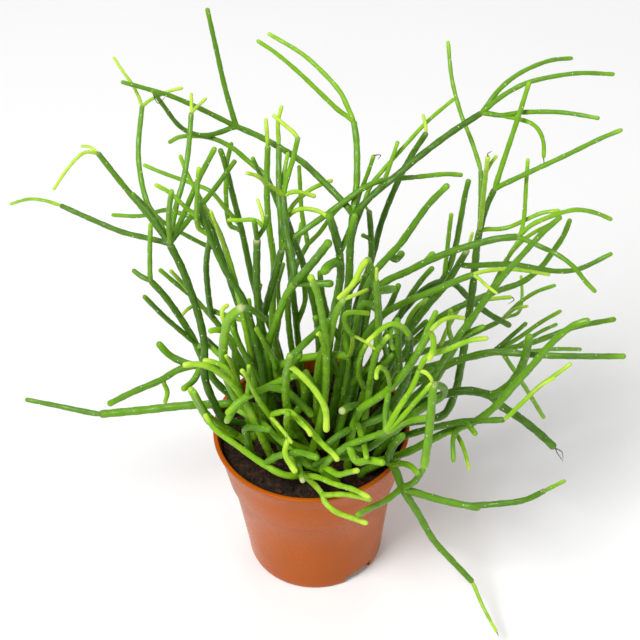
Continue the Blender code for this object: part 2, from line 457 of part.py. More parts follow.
        (None, -26, 5.4, 4.8, 0.05, ((420, 404), (461, 391), (489, 395), (500, 405), (520, 418),
                                     (540, 434), (555, 448))),
        (0, -22, 5.2, 4.8, 0.1, ((491, 397), (508, 385), (520, 369), (526, 352), (530, 333))),
    )),
    ("right_lime_shoot", (386, 452), (
        (None, (-34, -50), 4.6, 3.6, 0.2, ((424, 432), (462, 424), (480, 423), (506, 422))),
        (0, -40, 2.9, 2.4, 0.8, ((506, 422), (524, 404), (540, 389), (557, 377), (572, 366))),
        (1, -46, 2.2, 1.8, 0.85, ((528, 400), (540, 389), (556, 380))),
        (0, -58, 3.4, 3.2, 0.3, ((465, 424), (471, 429), (477, 437))),
    )),
    ("right_level_shoot", (368, 430), (
        (None, -34, 4.8, 3.4, 0.25, ((404, 392), (442, 369), (463, 360), (487, 354), (504, 354), (540, 357),
                                     (581, 358), (626, 358))),
        (0, 10, 2.8, 2.4, 0.4, ((520, 355), (551, 351), (581, 351))),
        (0, -10, 2.9, 2.6, 0.6, ((500, 354), (504, 357), (516, 375), (530, 397), (544, 420))),
    )),
    ("right_rise_shoot", (374, 402), (
        (None, 40, 4.6, 3.2, 0.2, ((396, 376), (430, 366), (463, 359), (504, 350), (534, 342),
                                   (561, 332), (579, 326), (616, 319))),
        (0, 56, 2.7, 2.3, 0.4, ((520, 346), (538, 333), (557, 324))),
        (0, 60, 2.9, 2.5, 0.4, ((493, 352), (520, 336), (540, 322), (561, 310))),
        (0, 48, 2.9, 2.6, 0.2, ((493, 352), (512, 336), (527, 323))),
    )),
    ("right_mid_shoot", (370, 386), (
        (None, 62, 4.4, 3.2, 0.15, ((398, 362), (440, 346), (472, 334), (498, 322), (504, 318))),
        (0, 66, 2.8, 2.4, 0.35, ((504, 318), (518, 304), (536, 292), (556, 285))),
        (0, 50, 2.4, 2.0, 0.7, ((504, 318), (515, 309), (528, 306))),
        (0, 84, 2.3, 1.9, 0.6, ((504, 318), (519, 312), (522, 296), (521, 275))),
        (0, 50, 3.0, 2.5, 0.7, ((440, 346), (452, 320), (466, 302), (490, 299), (512, 297))),
    )),
    ("trailing_shoot", (368, 476), (
        (None, (-36, -48), 5.2, 4.8, 0.3, ((388, 461), (396, 470), (402, 488))),
        (0, -64, 4.6, 3.6, 0.3, ((402, 488), (412, 503), (420, 516), (434, 540), (453, 561), (473, 582))),
        (1, -92, 2.6, 2.0, 0.75, ((473, 582), (483, 606), (497, 632))),
        (0, -62, 4.8, 4.2, 0.25, ((402, 488), (442, 500), (481, 508))),
        (3, -66, 4.0, 3.4, 0.15, ((467, 505), (493, 504), (524, 500), (546, 490))),
        (4, -60, 2.6, 2.2, 0.55, ((546, 490), (566, 480))),
        (0, -84, 4.0, 3.4, 0.45, ((402, 488), (385, 501), (370, 508), (357, 515))),
        (0, -56, 4.2, 3.6, 0.35, ((402, 488), (414, 482), (424, 468))),
        (0, -44, 5.0, 4.6, 0.1, ((388, 462), (392, 448), (404, 434))),
        (0, -62, 3.8, 3.5, 0.4, ((391, 464), (402, 463), (412, 466), (419, 474))),
    )),
    ("front_over_rim_shoot", (284, 444), (
        (None, (-32, -84), 4.4, 3.0, 0.85, ((290, 457), (300, 472), (315, 486), (322, 495),
                                            (325, 503), (335, 512),
                                            (350, 518), (367, 524))),
        (0, -78, 3.4, 3.0, 0.7, ((322, 494), (345, 495), (371, 500))),
        (0, -84, 3.6, 3.0, 0.7, ((304, 474), (320, 476), (335, 482), (355, 488), (371, 496))),
    )),
)


def soil_height(x, y):
    """Height of the soil's gently mounded top."""
    share = min(1.0, math.hypot(x, y) / wall_radius(SOIL_Z, WALL))
    return SOIL_Z + SOIL_MOUND * (1.0 - share * share)


def eye_axes():
    """Directions of the view: to the right, up and forward."""
    forward = np.array((
        math.sin(EYE_YAW) * math.cos(EYE_PITCH),
        math.cos(EYE_YAW) * math.cos(EYE_PITCH),
        -math.sin(EYE_PITCH),
    ))
    level = np.array((math.cos(EYE_YAW), -math.sin(EYE_YAW), 0.0))
    upright = np.cross(level, forward)
    right = level * math.cos(EYE_ROLL) + upright * math.sin(EYE_ROLL)
    up = upright * math.cos(EYE_ROLL) - level * math.sin(EYE_ROLL)
    return right, up, forward


def view_ray(u, v):
    """Unit direction from the eye through a point of the view."""
    right, up, forward = eye_axes()
    ray = forward + right * (u - VIEW_CENTRE) / EYE_FOCUS - up * (v - VIEW_CENTRE) / EYE_FOCUS
    return ray / np.linalg.norm(ray)


def at_depth(u, v, depth):
    """The point of a view ray that lies at a depth behind the pot's axis."""
    ray = view_ray(u, v)
    return EYE + ray * (depth - EYE[1]) / ray[1]


def on_soil(u, v):
    """Where a view ray meets the soil."""
    ray = view_ray(u, v)
    point = EYE + ray * (SOIL_Z - EYE[2]) / ray[2]
    return point[:2]


def spread_roots(roots):
    """Moves roots apart until they stand a root spacing from each other, inside the pot."""
    spots = np.array(roots)
    for _ in range(SPREAD_ROUNDS):
        gap = spots[:, None] - spots[None]
        far = np.linalg.norm(gap, axis=2) + 1e-9
        push = np.clip(ROOT_SPACING - far, 0.0, None)
        np.fill_diagonal(push, 0.0)
        spots = spots + SPREAD_SHARE * (gap / far[..., None] * push[..., None]).sum(axis=1)
        reach = np.linalg.norm(spots, axis=1)
        spots *= np.minimum(1.0, ROOT_LIMIT / np.maximum(reach, 1e-9))[:, None]
    return spots


def smooth_line(points, spacing):
    """A smooth curve through the points, cut into nearly equal steps."""
    points = np.array(points, dtype=float)
    ends = np.vstack((2 * points[0] - points[1], points, 2 * points[-1] - points[-2]))
    fine = []
    for k in range(len(points) - 1):
        before, first, second, after = ends[k:k + 4]
        span = np.linalg.norm(second - first)
        tangent_1 = (second - before) / (np.linalg.norm(first - before) + span) * span
        tangent_2 = (after - first) / (np.linalg.norm(after - second) + span) * span
        for t in np.linspace(0.0, 1.0, FINE_STEPS + 1)[:-1]:
            fine.append((2 * t**3 - 3 * t**2 + 1) * first + (t**3 - 2 * t**2 + t) * tangent_1
                        + (3 * t**2 - 2 * t**3) * second + (t**3 - t**2) * tangent_2)
    fine.append(points[-1])
    fine = np.array(fine)
    run = np.concatenate(([0.0], np.cumsum(np.linalg.norm(np.diff(fine, axis=0), axis=1))))
    count = max(3, int(math.ceil(run[-1] / spacing)) + 1)
    marks = np.linspace(0.0, run[-1], count)
    return np.column_stack([np.interp(marks, run, fine[:, axis]) for axis in range(3)])


class Stem:
    """One stem: its centre line, half widths, and how it hangs on the rest of its shoot."""

    def __init__(self, shoot, parent, joint, line, widths, youth):
        self.shoot = shoot
        self.parent = parent
        self.joint = joint
        self.rest = line
        self.youth = youth
        self.shift = np.zeros_like(line)
        steps = np.linalg.norm(np.diff(line, axis=0), axis=1)
        self.run = np.concatenate(([0.0], np.cumsum(steps)))
        self.start_run = parent.start_run + parent.run[joint] if parent else 0.0
        share = self.run / self.run[-1]
        self.radius = 0.5 * (widths[0] + (widths[1] - widths[0]) * share)
        held = SOCKET_DEPTH + FIXED_LENGTH if parent is None else 0.0
        ease = np.clip((self.run - held) / FREE_LENGTH, 0.0, 1.0)
        self.freedom = ease * ease * (3 - 2 * ease)
        apart = np.abs(self.run[:, None] - self.run[None])
        bump = np.clip(1.0 - apart / REACH, 0.0, None)
        self.spread = bump * bump * (3 - 2 * bump)
        blur = np.exp(-0.5 * (apart / SMOOTH_REACH) ** 2)
        self.blur = blur / blur.sum(axis=1)[:, None]
        self.sight = (line - EYE) / np.linalg.norm(line - EYE, axis=1)[:, None]

    def total_shift(self):
        carried = self.parent.total_shift()[self.joint] if self.parent else 0.0
        return self.shift + carried

    def line(self):
        return self.rest + self.total_shift()


def stem_route(root, parent, depth, marks):
    """Centre line of a stem through its points of the view, and the place where it joins its parent."""
    view = np.array(marks, dtype=float)
    run = np.concatenate(([0.0], np.cumsum(np.linalg.norm(np.diff(view, axis=0), axis=1))))
    if parent is None:
        joint = None
        if isinstance(depth, tuple):
            start_depth, depth = depth
        else:
            start_depth = root[1]
            run = run + ROOT_LEAD
    else:
        first = np.array([at_depth(*marks[0], point[1]) for point in parent.rest])
        joint = int(np.argmin(np.linalg.norm(first - parent.rest, axis=1)))
        start_depth = parent.rest[joint][1]
    points = []
    for (u, v), along in zip(marks, run):
        points.append(at_depth(u, v, start_depth + (depth - start_depth) * along / run[-1]))
    if parent is None:
        foot = np.array((root[0], root[1], soil_height(*root)))
        lean = points[0] - foot
        lean = lean / np.linalg.norm(lean)
        lean = lean + np.array((0.0, 0.0, UPRIGHT))
        lean = lean / np.linalg.norm(lean)
        points = [foot - lean * SOCKET_DEPTH, foot, foot + lean * ROOT_RISE] + points
    else:
        points[0] = parent.rest[joint]
    return smooth_line(points, SAMPLE), joint


def grow_shoots():
    """All stems of the plant, before they are settled."""
    roots = spread_roots([on_soil(*spot) for _, spot, _ in SHOOTS])
    stems = []
    for number, (_, _, parts) in enumerate(SHOOTS):
        own = []
        for parent_index, depth, start_width, end_width, youth, marks in parts:
            parent = None if parent_index is None else own[parent_index]
            line, joint = stem_route(roots[number], parent, depth, marks)
            own.append(Stem(number, parent, joint, line, (start_width, end_width), youth))
        stems.extend(own)
    return stems


def lineage(stem):
    """Stems from this one down to the root, with the distance from the root where each is left."""
    chain = []
    leave = None
    while stem:
        chain.append((stem, leave))
        leave = stem.start_run
        stem = stem.parent
    return chain


def path_between(stem_a, run_a, stem_b, run_b):
    """Distance along the plant between points of two stems of one shoot."""
    chain_a = {id(stem): leave for stem, leave in lineage(stem_a)}
    for stem, leave_b in lineage(stem_b):
        if id(stem) in chain_a:
            leave_a = chain_a[id(stem)]
            foot_a = run_a if leave_a is None else np.full_like(run_a, leave_a)
            foot_b = run_b if leave_b is None else np.full_like(run_b, leave_b)
            return (run_a - foot_a) + (run_b - foot_b) + np.abs(foot_a - foot_b)
    return np.full_like(run_a, 1e9)


def closest_parts(a0, a1, b0, b1):
    """Nearest points of pairs of straight pieces, as shares of each piece."""
    along_a, along_b, between = a1 - a0, b1 - b0, a0 - b0
    aa = (along_a * along_a).sum(1)
    bb = (along_b * along_b).sum(1)
    ab = (along_a * along_b).sum(1)
    da = (along_a * between).sum(1)
    db = (along_b * between).sum(1)
    denominator = np.maximum(aa * bb - ab * ab, 1e-9)
    share_a = np.clip((ab * db - bb * da) / denominator, 0.0, 1.0)
    share_b = np.clip((ab * share_a + db) / bb, 0.0, 1.0)
    share_a = np.clip((ab * share_b - da) / aa, 0.0, 1.0)
    return share_a, share_b


def near_pieces(stems, lines, pieces):
    """Pairs of straight pieces of stems that lie near each other and do not meet at a joint."""
    owner, index, run = pieces
    starts = np.array([lines[o][i] for o, i in zip(owner, index)])
    pairs_a, pairs_b = [], []
    for k in range(len(owner) - 1):
        far = np.abs(starts[k + 1:] - starts[k]).max(axis=1)
        close = np.nonzero(far < NEAR_REACH)[0] + k + 1
        close = close[owner[close] != owner[k]]
        pairs_a.append(np.full(len(close), k))
        pairs_b.append(close)
    pairs_a, pairs_b = np.concatenate(pairs_a), np.concatenate(pairs_b)
    keep = np.ones(len(pairs_a), dtype=bool)
    shoots = np.array([stem.shoot for stem in stems])
    same = np.nonzero(shoots[owner[pairs_a]] == shoots[owner[pairs_b]])[0]
    for k in same:
        a, b = pairs_a[k], pairs_b[k]
        path = path_between(stems[owner[a]], run[a:a + 1], stems[owner[b]], run[b:b + 1])
        keep[k] = path[0] > NEAR_PATH
    return pairs_a[keep], pairs_b[keep]


def wall_radius(z, inset=0.0):
    """Radius of the pot's outer wall at a height, or of a surface inside it."""
    if z >= COLLAR_LOW_Z:
        share = (z - COLLAR_LOW_Z) / (POT_HEIGHT - COLLAR_LOW_Z)
        return COLLAR_LOW_RADIUS + (RIM_RADIUS - LIP_PROUD - COLLAR_LOW_RADIUS) * share - inset
    return BASE_RADIUS + (STEP_RADIUS - BASE_RADIUS) * z / COLLAR_LOW_Z - inset


def pot_outline():
    """Outer outline of pot and soil, as points in the half plane of radius and height."""
    outline = ((0.0, SOIL_Z + SOIL_MOUND), (wall_radius(SOIL_Z, WALL), SOIL_Z),
               (wall_radius(POT_HEIGHT, WALL), POT_HEIGHT), (RIM_RADIUS, POT_HEIGHT),
               (COLLAR_LOW_RADIUS, COLLAR_LOW_Z), (STEP_RADIUS, COLLAR_LOW_Z), (BASE_RADIUS, 0.0))
    return np.array(outline)


def clear_of_pot(points, radii):
    """How far towards the viewer each point moves to clear pot, soil and ground."""
    outline = pot_outline()
    flat = np.column_stack((np.hypot(points[:, 0], points[:, 1]), points[:, 2]))
    nearest = np.full(len(points), 1e9)
    for first, second in zip(outline[:-1], outline[1:]):
        along = second - first
        share = np.clip(((flat - first) @ along) / (along @ along), 0.0, 1.0)
        offset = flat - (first + share[:, None] * along)
        nearest = np.minimum(nearest, np.linalg.norm(offset, axis=1))
    gap = np.where(inside_outline(flat, outline), -nearest, nearest)
    need = np.clip(radii + CLEARANCE - gap, 0.0, DEEPEST_PUSH)
    return np.maximum(need, np.clip(radii + CLEARANCE - points[:, 2], 0.0, None))


def inside_outline(flat, outline):
    """Whether points of the half plane lie inside the outline of pot and soil."""
    ring = np.vstack((outline, ((0.0, 0.0),)))
    inside = np.zeros(len(flat), dtype=bool)
    for first, second in zip(ring, np.roll(ring, -1, axis=0)):
        crosses = (first[1] > flat[:, 1]) != (second[1] > flat[:, 1])
        rise = second[1] - first[1] if second[1] != first[1] else 1e-9
        edge = (second[0] - first[0]) * (flat[:, 1] - first[1]) / rise + first[0]
        inside ^= crosses & (flat[:, 0] < edge)
    return inside


def push_stem(stem, pushes):
    """Spreads pushes along a stem, and hands what its held start cannot take to its parent."""
    weight = np.linalg.norm(pushes, axis=1)
    crowd = np.maximum(1.0, stem.spread @ (weight > 1e-6) * SAMPLE / REACH)
    yielding = pushes * np.sqrt(stem.freedom)[:, None]
    stem.shift += RELAX * stem.freedom[:, None] * (stem.spread @ yielding) / crowd[:, None]
    if stem.parent:
        held = (1.0 - stem.freedom) * weight
        worst = int(np.argmax(held))
        if held[worst] > 1e-3:
            share = np.zeros_like(stem.parent.shift)
            share[stem.joint] = pushes[worst] * (1.0 - stem.freedom[worst])
            push_stem(stem.parent, share)


def settled_sides(sides, owner, pairs_a, pairs_b, along):
    """Which stem of each touching pair stays behind the other, kept once it is known."""
    count = owner.max() + 1
    keys = owner[pairs_a] * count + owner[pairs_b]
    for key in np.unique(keys):
        if key not in sides:
            sides[key] = 1.0 if along[keys == key].mean() >= 0.0 else -1.0
    return np.array([sides[key] for key in keys])


def settle(stems):
    """Moves stems, mostly along the lines of sight, until none touches another stem, pot or ground."""
    owner = np.concatenate([np.full(len(stem.rest) - 1, k) for k, stem in enumerate(stems)])
    index = np.concatenate([np.arange(len(stem.rest) - 1) for stem in stems])
    run = np.concatenate([stem.start_run + stem.run[:-1] for stem in stems])
    radius = np.concatenate([stem.radius[:-1] for stem in stems])
    free = np.concatenate([stem.freedom[:-1] for stem in stems]) + HARDLY_FREE
    sight = np.concatenate([stem.sight[:-1] for stem in stems])
    first_of = np.searchsorted(owner, np.arange(len(stems)))
    sides = {}
    for turn in range(ROUNDS):
        lines = [stem.line() for stem in stems]
        start = np.concatenate([line[:-1] for line in lines])
        end = np.concatenate([line[1:] for line in lines])
        if turn % REFRESH == 0:
            pairs_a, pairs_b = near_pieces(stems, lines, (owner, index, run))
        share_a, share_b = closest_parts(start[pairs_a], end[pairs_a], start[pairs_b], end[pairs_b])
        point_a = start[pairs_a] + share_a[:, None] * (end[pairs_a] - start[pairs_a])
        point_b = start[pairs_b] + share_b[:, None] * (end[pairs_b] - start[pairs_b])
        between = point_a - point_b
        line_of_sight = sight[pairs_a]
        along = (between * line_of_sight).sum(axis=1)
        sideways = between - along[:, None] * line_of_sight
        aside = np.linalg.norm(sideways, axis=1)
        wanted = radius[pairs_a] + radius[pairs_b] + CLEARANCE
        near = np.nonzero(aside < wanted)[0]
        if turn % REFRESH == 0:
            side = settled_sides(sides, owner, pairs_a[near], pairs_b[near], along[near])
        else:
            count = owner.max() + 1
            keys = owner[pairs_a[near]] * count + owner[pairs_b[near]]
            side = np.array([sides.get(key, 0.0) for key in keys])
            unknown = side == 0.0
            side[unknown] = np.where(along[near][unknown] >= 0.0, 1.0, -1.0)
        depth_wanted = np.sqrt(wanted[near] ** 2 - aside[near] ** 2)
        need = depth_wanted - side * along[near]
        hit = need > 0.0
        near, side, need = near[hit], side[hit], need[hit]
        side_share = np.clip(aside[near] / wanted[near], 0.0, 1.0) * SIDEWAYS
        depth_part = (side * need * (1.0 - side_share))[:, None] * line_of_sight[near]
        side_need = side_share * np.minimum(need, wanted[near] - aside[near])
        move = depth_part + (side_need / (aside[near] + 1e-6))[:, None] * sideways[near]
        whole = free[pairs_a[near]] + free[pairs_b[near]]
        total = np.zeros((len(owner), 3))
        touched = np.full(len(owner), 1e-9)
        for places, moves in ((pairs_a[near], move * (free[pairs_a[near]] / whole)[:, None]),
                              (pairs_b[near], -move * (free[pairs_b[near]] / whole)[:, None])):
            np.add.at(total, places, moves)
            np.add.at(touched, places, 1.0)
        total /= np.maximum(1.0, touched)[:, None] ** 0.5
        total -= clear_of_pot(start, radius)[:, None] * sight * (free > HARDLY_FREE)[:, None]
        for k, stem in enumerate(stems):
            part = total[first_of[k]:first_of[k] + len(stem.rest) - 1]
            if np.any(part):
                push_stem(stem, np.vstack((part, np.zeros(3))))
            if turn < SMOOTH_ROUNDS:
                stem.shift += SMOOTH_SHARE * stem.freedom[:, None] * (stem.blur @ stem.shift - stem.shift)
    return stems


def principled(name, colour, roughness):
    """A plain material with the part's colour and roughness."""
    material = bpy.data.materials.new(name)
    material.use_nodes = True
    shader = material.node_tree.nodes["Principled BSDF"]
    shader.inputs["Base Color"].default_value = (*colour, 1.0)
    shader.inputs["Roughness"].default_value = roughness
    material.diffuse_color = (*colour, 1.0)
    return material


def new_collection(name):
    collection = bpy.data.collections.new(name)
    bpy.context.scene.collection.children.link(collection)
    return collection


def turned(name, profile, steps, collection):
    """A solid of revolution from a profile of radius and height in millimetres."""
    mesh = bpy.data.meshes.new(name)
    points = [(radius * MM, 0.0, z * MM) for radius, z in profile]
    edges = [(k, k + 1) for k in range(len(points) - 1)]
    mesh.from_pydata(points, edges, [])
    solid = bpy.data.objects.new(name, mesh)
    collection.objects.link(solid)
    screw = solid.modifiers.new("turn", "SCREW")
    screw.axis = "Z"
    screw.steps = steps
    screw.render_steps = steps
    screw.use_merge_vertices = True
    screw.merge_threshold = 0.00005
    return solid


def tube(name, line, radii, collection):
    """A closed round tube along a line of points in millimetres."""
    curve = bpy.data.curves.new(name, "CURVE")
    curve.dimensions = "3D"
    curve.bevel_depth = MM
    curve.bevel_resolution = TUBE_RESOLUTION
    curve.use_fill_caps = True
    spline = curve.splines.new("POLY")
    spline.points.add(len(line) - 1)
    for point, place, radius in zip(spline.points, line, radii):
        point.co = (*(Vector(place) * MM), 1.0)
        point.radius = radius
    source = bpy.data.objects.new(name, curve)
    collection.objects.link(source)
    evaluated = source.evaluated_get(bpy.context.evaluated_depsgraph_get())
    mesh = bpy.data.meshes.new_from_object(evaluated)
    solid = bpy.data.objects.new(name, mesh)
    solid.matrix_world = source.matrix_world
    collection.objects.link(solid)
    bpy.data.objects.remove(source)
    shape = bmesh.new()
    shape.from_mesh(mesh)
    bmesh.ops.remove_doubles(shape, verts=shape.verts, dist=0.00001)
    shape.to_mesh(mesh)
    shape.free()
    solid.name = name
    return solid


def hide_helper(helper):
    helper.hide_render = True
    helper.display_type = "WIRE"


def add_boolean(target, helper, operation):
    boolean = target.modifiers.new(helper.name, "BOOLEAN")
    boolean.operation = operation
    boolean.solver = "EXACT"
    boolean.use_self = operation == "UNION"
    boolean.object = helper


def build_pot(parts, cutters):
    """The pot: a thin turned wall with a collar, a lip, a notched foot, a centre pad and drain holes."""
    floor_z = FOOT_HEIGHT + WALL
    lip_low = POT_HEIGHT - LIP_HEIGHT
    mouth_radius = wall_radius(POT_HEIGHT, WALL)
    profile = (
        (0.0, floor_z), (wall_radius(floor_z, WALL), floor_z), (STEP_RADIUS - WALL, COLLAR_LOW_Z + WALL),
        (wall_radius(COLLAR_LOW_Z + WALL, WALL), COLLAR_LOW_Z + 2 * WALL),
        (mouth_radius, POT_HEIGHT - ROUNDING), (mouth_radius + ROUNDING, POT_HEIGHT),
        (RIM_RADIUS - ROUNDING, POT_HEIGHT),
        (RIM_RADIUS, POT_HEIGHT - ROUNDING), (RIM_RADIUS, lip_low + ROUNDING),
        (wall_radius(lip_low), lip_low), (wall_radius(COLLAR_LOW_Z + ROUNDING), COLLAR_LOW_Z + ROUNDING),
        (COLLAR_LOW_RADIUS - ROUNDING, COLLAR_LOW_Z), (STEP_RADIUS, COLLAR_LOW_Z - ROUNDING),
        (BASE_RADIUS + ROUNDING, FOOT_HEIGHT), (BASE_RADIUS, 0.0), (BASE_RADIUS - FOOT_WIDTH, 0.0),
        (BASE_RADIUS - FOOT_WIDTH - ROUNDING, FOOT_HEIGHT), (PAD_RADIUS + ROUNDING, FOOT_HEIGHT),
        (PAD_RADIUS, 0.0), (0.0, 0.0),
    )
    pot = turned("pot", profile, POT_STEPS, parts)
    for number in range(NOTCH_COUNT):
        angle = FIRST_NOTCH_ANGLE + number * math.tau / NOTCH_COUNT
        bpy.ops.mesh.primitive_cube_add(size=MM, rotation=(0.0, 0.0, angle))
        notch = bpy.context.object
        notch.name = f"foot_notch_{number + 1}"
        reach = BASE_RADIUS - 0.5 * FOOT_WIDTH
        notch.location = (reach * math.cos(angle) * MM, reach * math.sin(angle) * MM, 0.0)
        notch.scale = (2 * FOOT_WIDTH + 2 * ROUNDING, NOTCH_WIDTH, 2 * (FOOT_HEIGHT - ROUNDING))
        move_to(notch, cutters)
        add_boolean(pot, notch, "DIFFERENCE")
    for number in range(DRAIN_COUNT):
        angle = number * math.tau / DRAIN_COUNT
        place = (DRAIN_CIRCLE * math.cos(angle) * MM, DRAIN_CIRCLE * math.sin(angle) * MM, floor_z * MM)
        bpy.ops.mesh.primitive_cylinder_add(
            vertices=DRAIN_STEPS, radius=DRAIN_RADIUS * MM, depth=4 * WALL * MM, location=place)
        drain = bpy.context.object
        drain.name = f"drain_{number + 1}"
        move_to(drain, cutters)
        add_boolean(pot, drain, "DIFFERENCE")
    pot.data.materials.append(principled("terracotta_plastic", (0.49, 0.13, 0.035), 0.42))
    return pot


def move_to(thing, collection):
    """Puts a helper made by an operator in the cutters' collection."""
    for home in thing.users_collection:
        home.objects.unlink(thing)
    collection.objects.link(thing)
    hide_helper(thing)


def build_soil(parts, cutters, stems):
    """The soil: a turned plug with a mounded top and a socket for each shoot."""
    bottom = FOOT_HEIGHT + WALL + FIT_GAP
    inset = WALL + FIT_GAP
    step_z = COLLAR_LOW_Z + WALL
    top_radius = wall_radius(SOIL_Z, inset)
    crown = [(top_radius * k / 4, SOIL_Z + SOIL_MOUND * (1.0 - (k / 4) ** 2)) for k in range(5)]
    side = ((wall_radius(COLLAR_LOW_Z + 3 * WALL, inset), COLLAR_LOW_Z + 3 * WALL),
            (STEP_RADIUS - inset - 0.2, step_z), (wall_radius(bottom, inset), bottom), (0.0, bottom))
    soil = turned("potting_soil", crown + list(side), SOIL_STEPS, parts)
    for stem in stems:
        if stem.parent is None:
            line, radii = thinned(stem.line(), stem.radius)
            count = int(np.argmax(np.linalg.norm(line - line[0], axis=1) > SOCKET_REACH)) + 1
            line, radii = line[:count].copy(), radii[:count] + FIT_GAP
            line[0] += (line[0] - line[1]) / np.linalg.norm(line[0] - line[1]) * FIT_GAP
            socket = tube(f"socket_{SHOOTS[stem.shoot][0]}", line, radii, cutters)
            hide_helper(socket)
            add_boolean(soil, socket, "DIFFERENCE")
    soil.data.materials.append(principled("dark_peat", (0.020, 0.010, 0.005), 0.95))
    return soil


def thinned(line, radii):
    """Keeps only as many points of a line as its bends need."""
    keep = [0]
    last = len(line) - 1
    while keep[-1] < last:
        start = keep[-1]
        reach = start + 1
        for stop in range(start + 2, last + 1):
            chord = line[stop] - line[start]
            length = np.linalg.norm(chord)
            inner = line[start + 1:stop] - line[start]
            off = np.linalg.norm(np.cross(inner, chord / length), axis=1)
            if off.max() > CHORD_ERROR or length > LONGEST_PIECE:
                break
            reach = stop
        keep.append(reach)
    return line[keep], radii[keep]


def stem_solid(stem, name, collection):
    """One stem as a tube with a blunt tip, which starts inside the stem it grows from."""
    line, radii = thinned(stem.line(), stem.radius)
    line, radii = line.copy(), radii.copy()
    if stem.parent:
        parent_line = stem.parent.line()
        back = parent_line[stem.joint] - parent_line[max(stem.joint - 1, 0)]
        line[0] -= back / np.linalg.norm(back) * JOINT_OVERLAP
    radii[-1] *= TIP_TAPER
    return tube(name, line, radii, collection)


def shoot_colour(youth):
    """From the deep green of old stems to the yellow green of new ones."""
    old, new = (0.045, 0.135, 0.012), (0.36, 0.62, 0.05)
    return tuple(a + (b - a) * youth for a, b in zip(old, new))


def build_shoots(parts, cutters, stems):
    """Every shoot as one solid: its stems joined where they grow from one another."""
    for number, (name, _, _) in enumerate(SHOOTS):
        own = [stem for stem in stems if stem.shoot == number]
        body = stem_solid(own[0], name, parts)
        for count, stem in enumerate(own[1:]):
            branch = stem_solid(stem, f"{name}_branch_{count + 1}", cutters)
            hide_helper(branch)
            add_boolean(body, branch, "UNION")
        youth = sum(stem.youth for stem in own) / len(own)
        body.data.materials.append(principled(f"{name}_skin", shoot_colour(youth), 0.4))


def shade_round(collection):
    for thing in collection.objects:
        thing.data.shade_smooth()
        thing.data.set_sharp_from_angle(angle=math.radians(40.0))


def main():
    for thing in list(bpy.data.objects):
        bpy.data.objects.remove(thing)
    parts = new_collection("mistletoe_cactus")
    cutters = new_collection("cutters")
    stems = settle(grow_shoots())
    build_pot(parts, cutters)
    build_soil(parts, cutters, stems)
    build_shoots(parts, cutters, stems)
    shade_round(parts)


if __name__ == "__main__":
    main()
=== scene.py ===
# Looks of the mistletoe cactus in its pot, laid out as a Blender add-on and run as a script.
# The origin is on the pot's axis at the surface it stands on, +Z up, +Y away from the viewer.
import json
import math

import bmesh
import bpy
import numpy as np
from bpy.props import FloatProperty, FloatVectorProperty, IntProperty, PointerProperty
from mathutils import Matrix, Vector, noise

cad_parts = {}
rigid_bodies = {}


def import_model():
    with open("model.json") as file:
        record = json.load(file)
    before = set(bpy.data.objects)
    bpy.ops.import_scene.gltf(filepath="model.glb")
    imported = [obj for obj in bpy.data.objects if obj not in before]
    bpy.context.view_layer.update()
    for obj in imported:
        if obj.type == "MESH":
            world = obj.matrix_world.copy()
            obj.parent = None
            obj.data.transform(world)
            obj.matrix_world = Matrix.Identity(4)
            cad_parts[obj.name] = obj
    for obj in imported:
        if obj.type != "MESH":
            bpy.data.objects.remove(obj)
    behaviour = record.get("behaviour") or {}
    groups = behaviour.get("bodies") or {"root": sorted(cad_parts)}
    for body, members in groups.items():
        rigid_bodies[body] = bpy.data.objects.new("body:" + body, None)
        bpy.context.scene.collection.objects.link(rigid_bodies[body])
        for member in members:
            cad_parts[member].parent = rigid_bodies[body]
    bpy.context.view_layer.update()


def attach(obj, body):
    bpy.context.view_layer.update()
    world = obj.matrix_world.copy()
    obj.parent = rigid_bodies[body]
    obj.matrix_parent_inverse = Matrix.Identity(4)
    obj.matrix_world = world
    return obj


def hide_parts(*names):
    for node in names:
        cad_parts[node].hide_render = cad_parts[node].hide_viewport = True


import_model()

bl_info = {
    "name": "Potted Mistletoe Cactus",
    "version": (1, 0, 0),
    "blender": (4, 5, 0),
    "location": "View3D > Sidebar > Cactus",
    "description": "Builds the looks of a mistletoe cactus in a nursery pot round its CAD part",
    "category": "Object",
}

MM = 0.001
MM_PER_CM = 10.0

# Pot, in millimetres
POT_HEIGHT = 106.0
RIM_RADIUS = 60.0
LIP_HEIGHT = 2.4
LIP_PROUD = 1.2
COLLAR_LOW_Z = 69.0
COLLAR_LOW_RADIUS = 52.4
STEP_RADIUS = 50.4
BASE_RADIUS = 42.0
WALL = 1.5
FOOT_WIDTH = 5.0
FOOT_HEIGHT = 6.5
NOTCH_WIDTH = 20.0
NOTCH_COUNT = 2
FIRST_NOTCH_ANGLE = math.radians(-52.0)
DRAIN_RADIUS = 4.0
DRAIN_CIRCLE = 22.0
DRAIN_COUNT = 6
PAD_RADIUS = 6.0
ROUNDING = 0.5

# Soil, in millimetres
SOIL_DEPTH_BELOW_RIM = 10.0
SOIL_MOUND = 3.0
SOIL_Z = POT_HEIGHT - SOIL_DEPTH_BELOW_RIM
FIT_GAP = 0.35
SOCKET_DEPTH = 8.0

# Shoots, in millimetres
JOINT_OVERLAP = 1.1
ROOT_LEAD = 40.0
ROOT_RISE = 4.0
UPRIGHT = 0.8
ROOT_SPACING = 8.6
ROOT_LIMIT = 44.0
SPREAD_ROUNDS = 400
SPREAD_SHARE = 0.25
FINE_STEPS = 12

